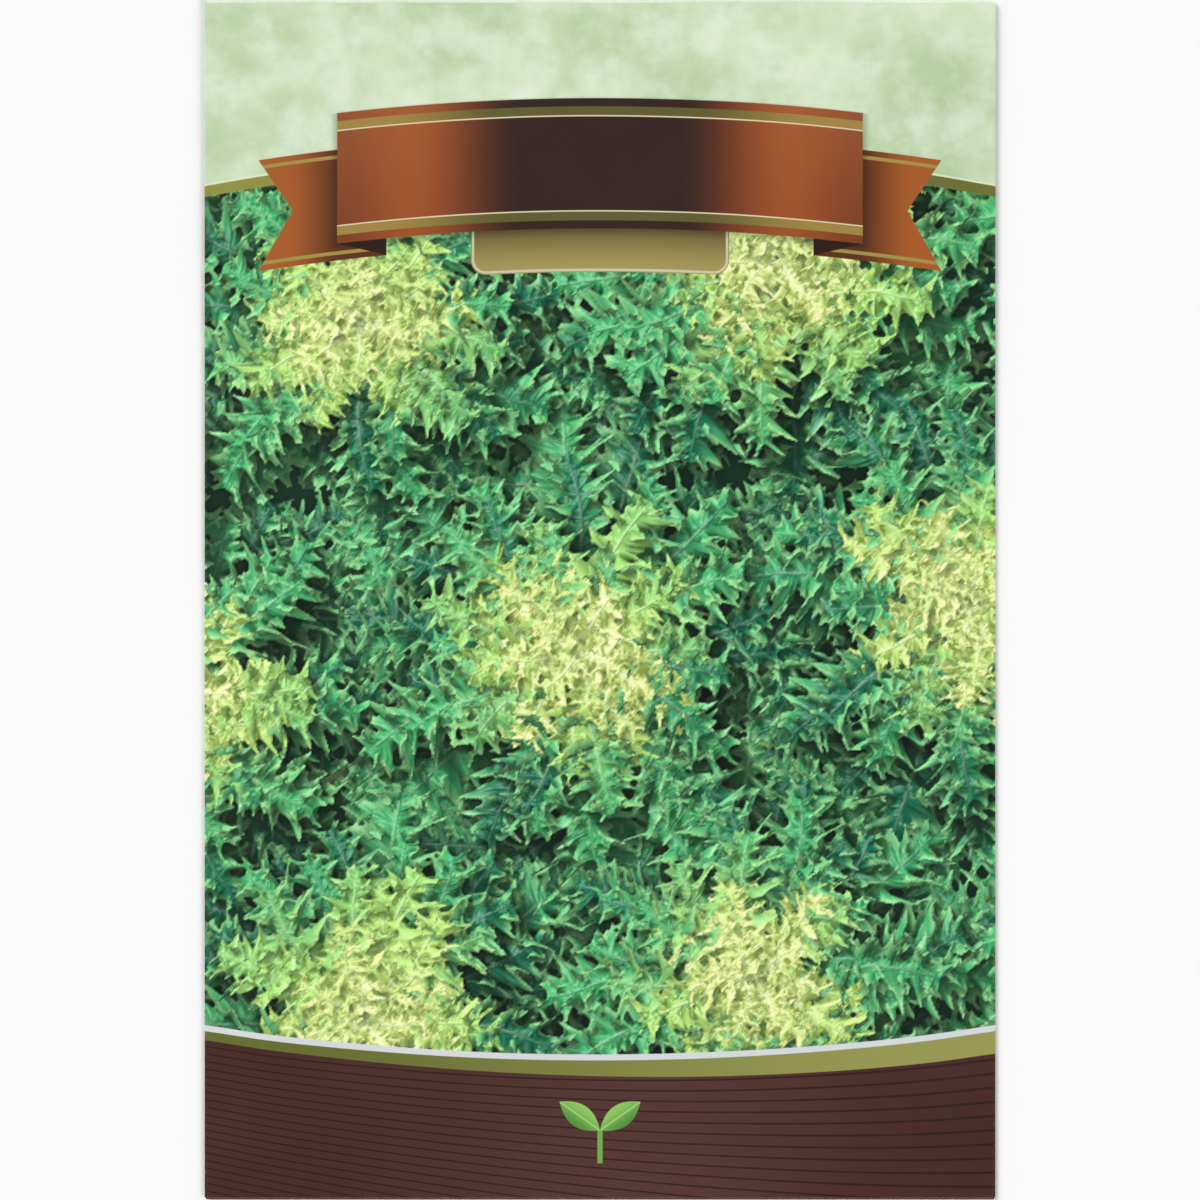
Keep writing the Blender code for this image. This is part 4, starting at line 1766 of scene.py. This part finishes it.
    def folded_end(self, name: str, crease: Crease, length: float, taper: float) -> bpy.types.Object:
        """Builds a panel that is folded behind the front from its top or bottom crease.

        The sheet goes round half a circle and then lies under the front at the height that the
        stack gives, while its sides draw in by a smooth step.

        Args:
            name: The piece's name.
            crease: Where it is folded.
            length: From the crease to the free edge.
            taper: How far each side has drawn in at the free edge.

        Returns:
            The piece.
        """
        stack, way = self.stack, crease.value
        at_top = crease is Crease.TOP
        y, radius = (
            (stack.top_y, stack.top_radius) if at_top else (stack.bottom_y, stack.bottom_radius)
        )
        turn = np.linspace(0, 1, self.fold_steps + 2)
        reach = np.linspace(0, length, self.panel_rows + 1)[1:]
        x = np.linspace(-1, 1, self.columns // self.thinning + 1)
        path_y = np.concatenate([y + way * radius * np.sin(math.pi * turn), y - way * reach])
        drop = np.concatenate([1 - np.cos(math.pi * turn), np.full(len(reach), 2.0)]) * radius
        drawn = np.concatenate([np.zeros(len(turn)), taper * smooth(reach / length, 0.0, 1.0)])
        drawn = drawn + self.inset * smooth(np.arange(len(path_y)) / len(turn), 0.0, 1.0)
        grid_x = x[None, :] * (stack.crease_x - drawn[:, None])
        grid_y = np.broadcast_to(path_y[:, None], grid_x.shape)
        lying = np.arange(len(path_y)) >= len(turn)
        rest = np.full(len(path_y), stack.paper / 2) if at_top else stack.back(path_y)
        start = stack.front(grid_x, np.full_like(grid_y, y))
        height = np.where(lying[:, None], rest[:, None], start - drop[:, None])
        middle = np.stack([grid_x, grid_y, height], -1)
        if not at_top:
            middle = middle[::-1]
        offset = grid_normals(middle) * stack.paper / 2
        return Slab.plain(name, middle + offset, middle - offset).build()

    def back_pieces(self) -> list[bpy.types.Object]:
        """Builds the panels that are folded behind the front.

        Returns:
            The back panel and the top flap.
        """
        stack = self.stack
        length = stack.top_y - stack.bottom_y - self.back_short
        return [
            self.folded_end("back_panel", Crease.BOTTOM, length, self.back_taper),
            self.folded_end("top_flap", Crease.TOP, stack.flap_length, self.flap_taper),
        ]


@dataclass
class GlueFilms:
    """The three thin films of glue between the layers."""

    stack: PaperStack  # The heights of the layers.
    clear: float = 0.003 * MM  # What is left free between a film and the paper.
    inset: float = 3.0 * MM  # From a crease or a free edge to the end of a film.
    side_band: Pair = (4.0 * MM, 11.0 * MM)  # From a side crease to a side film's two edges.
    below_flap: float = 8.0 * MM  # How far a side film ends below the top flap.
    flap_band: float = 9.0 * MM  # Height of the top flap's film.
    flap_share: float = 0.9  # Share of the packet's width that the top flap's film takes.
    side_points: tuple[int, int] = (9, 60)  # Points of a side film across and along.
    flap_points: tuple[int, int] = (40, 8)  # The same for the top flap's film.

    def film(
        self, name: str, grid: tuple[Floats, Floats], low: Floats, high: Floats
    ) -> bpy.types.Object:
        """Builds one film, from just over the paper below to just under the paper above.

        Args:
            name: The piece's name.
            grid: X and Y of its points.
            low: Height of the paper below it.
            high: Height of the paper above it.

        Returns:
            The piece, with all its faces in one slot.
        """
        outer = np.stack([*grid, high - self.clear], -1)
        inner = np.stack([*grid, low + self.clear], -1)
        piece = Slab.plain(name, outer, inner).build()
        slots = np.zeros(len(piece.data.polygons), np.int32)
        piece.data.polygons.foreach_set("material_index", slots)
        return piece

    def build(self) -> dict[str, bpy.types.Object]:
        """Builds the films, each between the paper below it and the paper above.

        Returns:
            The pieces, by the names of the solids that they stand for.
        """
        stack, half = self.stack, self.stack.paper / 2
        made = {}
        low_y, high_y = stack.bottom_y + self.inset, stack.flap_edge - self.below_flap
        y = np.linspace(low_y, high_y, self.side_points[1])
        for side in Side:
            ends = [side.value * (stack.crease_x - band) for band in self.side_band]
            grid = np.meshgrid(np.linspace(min(ends), max(ends), self.side_points[0]), y)
            low, high = stack.back(grid[1]) + half, stack.side(*grid) - half
            name = side.name.lower()
            made[f"{name}_glue_line"] = self.film(f"{name}_glue_film", grid, low, high)
        columns, rows = self.flap_points
        x = np.linspace(-self.flap_share, self.flap_share, columns) * stack.crease_x
        low_y = stack.flap_edge + self.inset
        grid = np.meshgrid(x, np.linspace(low_y, low_y + self.flap_band, rows))
        low, high = np.full_like(grid[0], stack.paper), stack.back(grid[1]) - half
        made["flap_glue_line"] = self.film("flap_glue_film", grid, low, high)
        return made


@dataclass(frozen=True)
class Lamp:
    """A broad, far, soft lamp that looks at the packet and lights all the floor alike."""

    name: str  # The lamp's name.
    place: Triple  # The direction that it shines from.
    strength: float  # Its strength.
    softness: float = 35.0  # How broad it looks from the packet, in degrees.

    def hang(self) -> None:
        """Puts the lamp into the scene."""
        data = bpy.data.lights.new(self.name, "SUN")
        data.angle, data.energy = math.radians(self.softness), self.strength
        lamp = placed(self.name, data)
        lamp.location = self.place
        lamp.rotation_mode = "QUATERNION"
        lamp.rotation_quaternion = (-Vector(self.place)).to_track_quat("-Z", "Y")


@dataclass(frozen=True)
class Studio:
    """A pale floor, soft lamps, a dim ceiling, and the camera straight over the packet."""

    view_height: float  # What the picture's height spans at the packet, in metres.
    nearest: float = 0.01  # Where the camera's view starts, in metres.
    lens: float = 100.0  # Focal length, in millimetres.
    sensor: float = 36.0  # Sensor width, in millimetres.
    floor_reach: float = 2.5  # Half the floor's side.
    floor_drop: float = 0.02 * MM  # How far the floor lies under the packet.
    lamps: tuple[Lamp, ...] = (  # The lamps.
        Lamp("window", (-0.62, 0.52, 0.62), 2.20),
        Lamp("fill", (0.66, -0.48, 0.60), 1.38),
    )
    horizon: float = 0.93  # Strength of the bright band where floor and walls meet.
    wall: float = 0.45  # Strength of the light from the walls.
    ceiling: float = 0.30  # Share of it that comes from straight above, where it would veil the print.
    wall_from: Pair = (0.05, 0.45)  # Height of the view over which the horizon turns to wall.
    ceiling_from: Pair = (0.55, 0.92)  # The same for where the walls turn to ceiling.

    def camera(self, height: float) -> None:
        """Hangs the camera over the middle of the packet, whose front fills the frame's height.

        Args:
            height: Height of the front over the table.
        """
        data = bpy.data.cameras.new("camera")
        data.lens, data.sensor_width = self.lens, self.sensor
        data.clip_start = self.nearest
        camera = placed("camera", data)
        camera.location = (0, 0, height + self.view_height * self.lens / self.sensor)
        bpy.context.scene.camera = camera

    def floor(self) -> None:
        """Lays the floor just under the packet."""
        reach, low = self.floor_reach, -self.floor_drop
        points = [
            (-reach, -reach, low),
            (reach, -reach, low),
            (reach, reach, low),
            (-reach, reach, low),
        ]
        mesh = bpy.data.meshes.new("floor")
        mesh.from_pydata(points, [], [(0, 1, 2, 3)])
        mesh.materials.append(StudioFloor().material())
        placed("floor", mesh)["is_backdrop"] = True

    def room(self) -> None:
        """Lights the room: a bright horizon, paler walls and a dim ceiling.

        The strength is the product of two smooth climbs of the height of the direction looked in.
        """
        world = bpy.data.worlds.new("studio")
        graph = Graph(world)
        place = graph.wire("ShaderNodeTexCoord", "Generated", {})
        rise = graph.wire("ShaderNodeSeparateXYZ", "Z", {0: place})
        strength = rise.climb(*self.wall_from, self.horizon, self.wall)
        strength = strength * rise.climb(*self.ceiling_from, 1.0, self.ceiling)
        sky = graph.wire("ShaderNodeBackground", 0, {"Color": (1, 1, 1, 1), "Strength": strength})
        graph.put("ShaderNodeOutputWorld", {"Surface": sky})
        bpy.context.scene.world = world

    def build(self, height: float) -> None:
        """Sets the whole studio up round the packet.

        Args:
            height: Height of the front over the table.
        """
        self.floor()
        self.camera(height)
        for lamp in self.lamps:
            lamp.hang()
        self.room()
        bpy.context.scene.view_settings.view_transform = "Standard"


def stand_in(piece: bpy.types.Object, node: str, slot: str, *materials: bpy.types.Material) -> None:
    """Dresses a piece, sets it on the packet's body in place of a solid, and reports it.

    Args:
        piece: The piece.
        node: The solid that it stands for.
        slot: The record's material slot. It is not used.
        *materials: Its materials, in the order of its slots.
    """
    for material in materials:
        piece.data.materials.append(material)
    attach(piece, BODY)
    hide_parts(node)
    REPORT.info("%s: %d faces", piece.name, len(piece.data.polygons))


def corners() -> list[list[float]]:
    """The shown object's box, as plain lists."""
    return [list(corner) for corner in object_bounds()]


def main() -> None:
    """Builds the packet in order and reports each piece."""
    logging.basicConfig(level=logging.INFO, format="%(name)s: %(message)s")
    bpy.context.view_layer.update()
    size = PacketSize.from_frame()
    stack = PaperStack(size)
    Studio(view_height=2 * size.half_height * IMAGE_PIXELS / PACKET_PIXELS).build(stack.crease)

    sheet = Envelope(stack)
    bed = LeafyBed(
        half_width=stack.crease_x / MM,
        bottom=sheet.picture_low / MM,
        top=sheet.picture_high / MM,
        columns=sheet.columns,
        rows=sheet.picture_rows,
        fineness=2,
    )
    coated = CoatedPaper(size.half_width / MM, size.half_height / MM)
    front = FrontPrint(coated).material()
    back = BackPrint(coated).material()
    bare = BarePaper().material()
    for piece in sheet.front_pieces(bed):
        stand_in(piece, "envelope", "printed_paper", front, bare)
    for piece in sheet.back_pieces():
        stand_in(piece, "envelope", "printed_paper", back, bare)

    glue = DriedGlue().material()
    for node, piece in GlueFilms(stack).build().items():
        stand_in(piece, node, "dried_glue", glue)

    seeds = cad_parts["seeds"]
    for slot in seeds.material_slots:
        slot.material = SeedCoat().material()
    REPORT.info("seeds: %d faces", len(seeds.data.polygons))


if __name__ == "__main__":
    main()
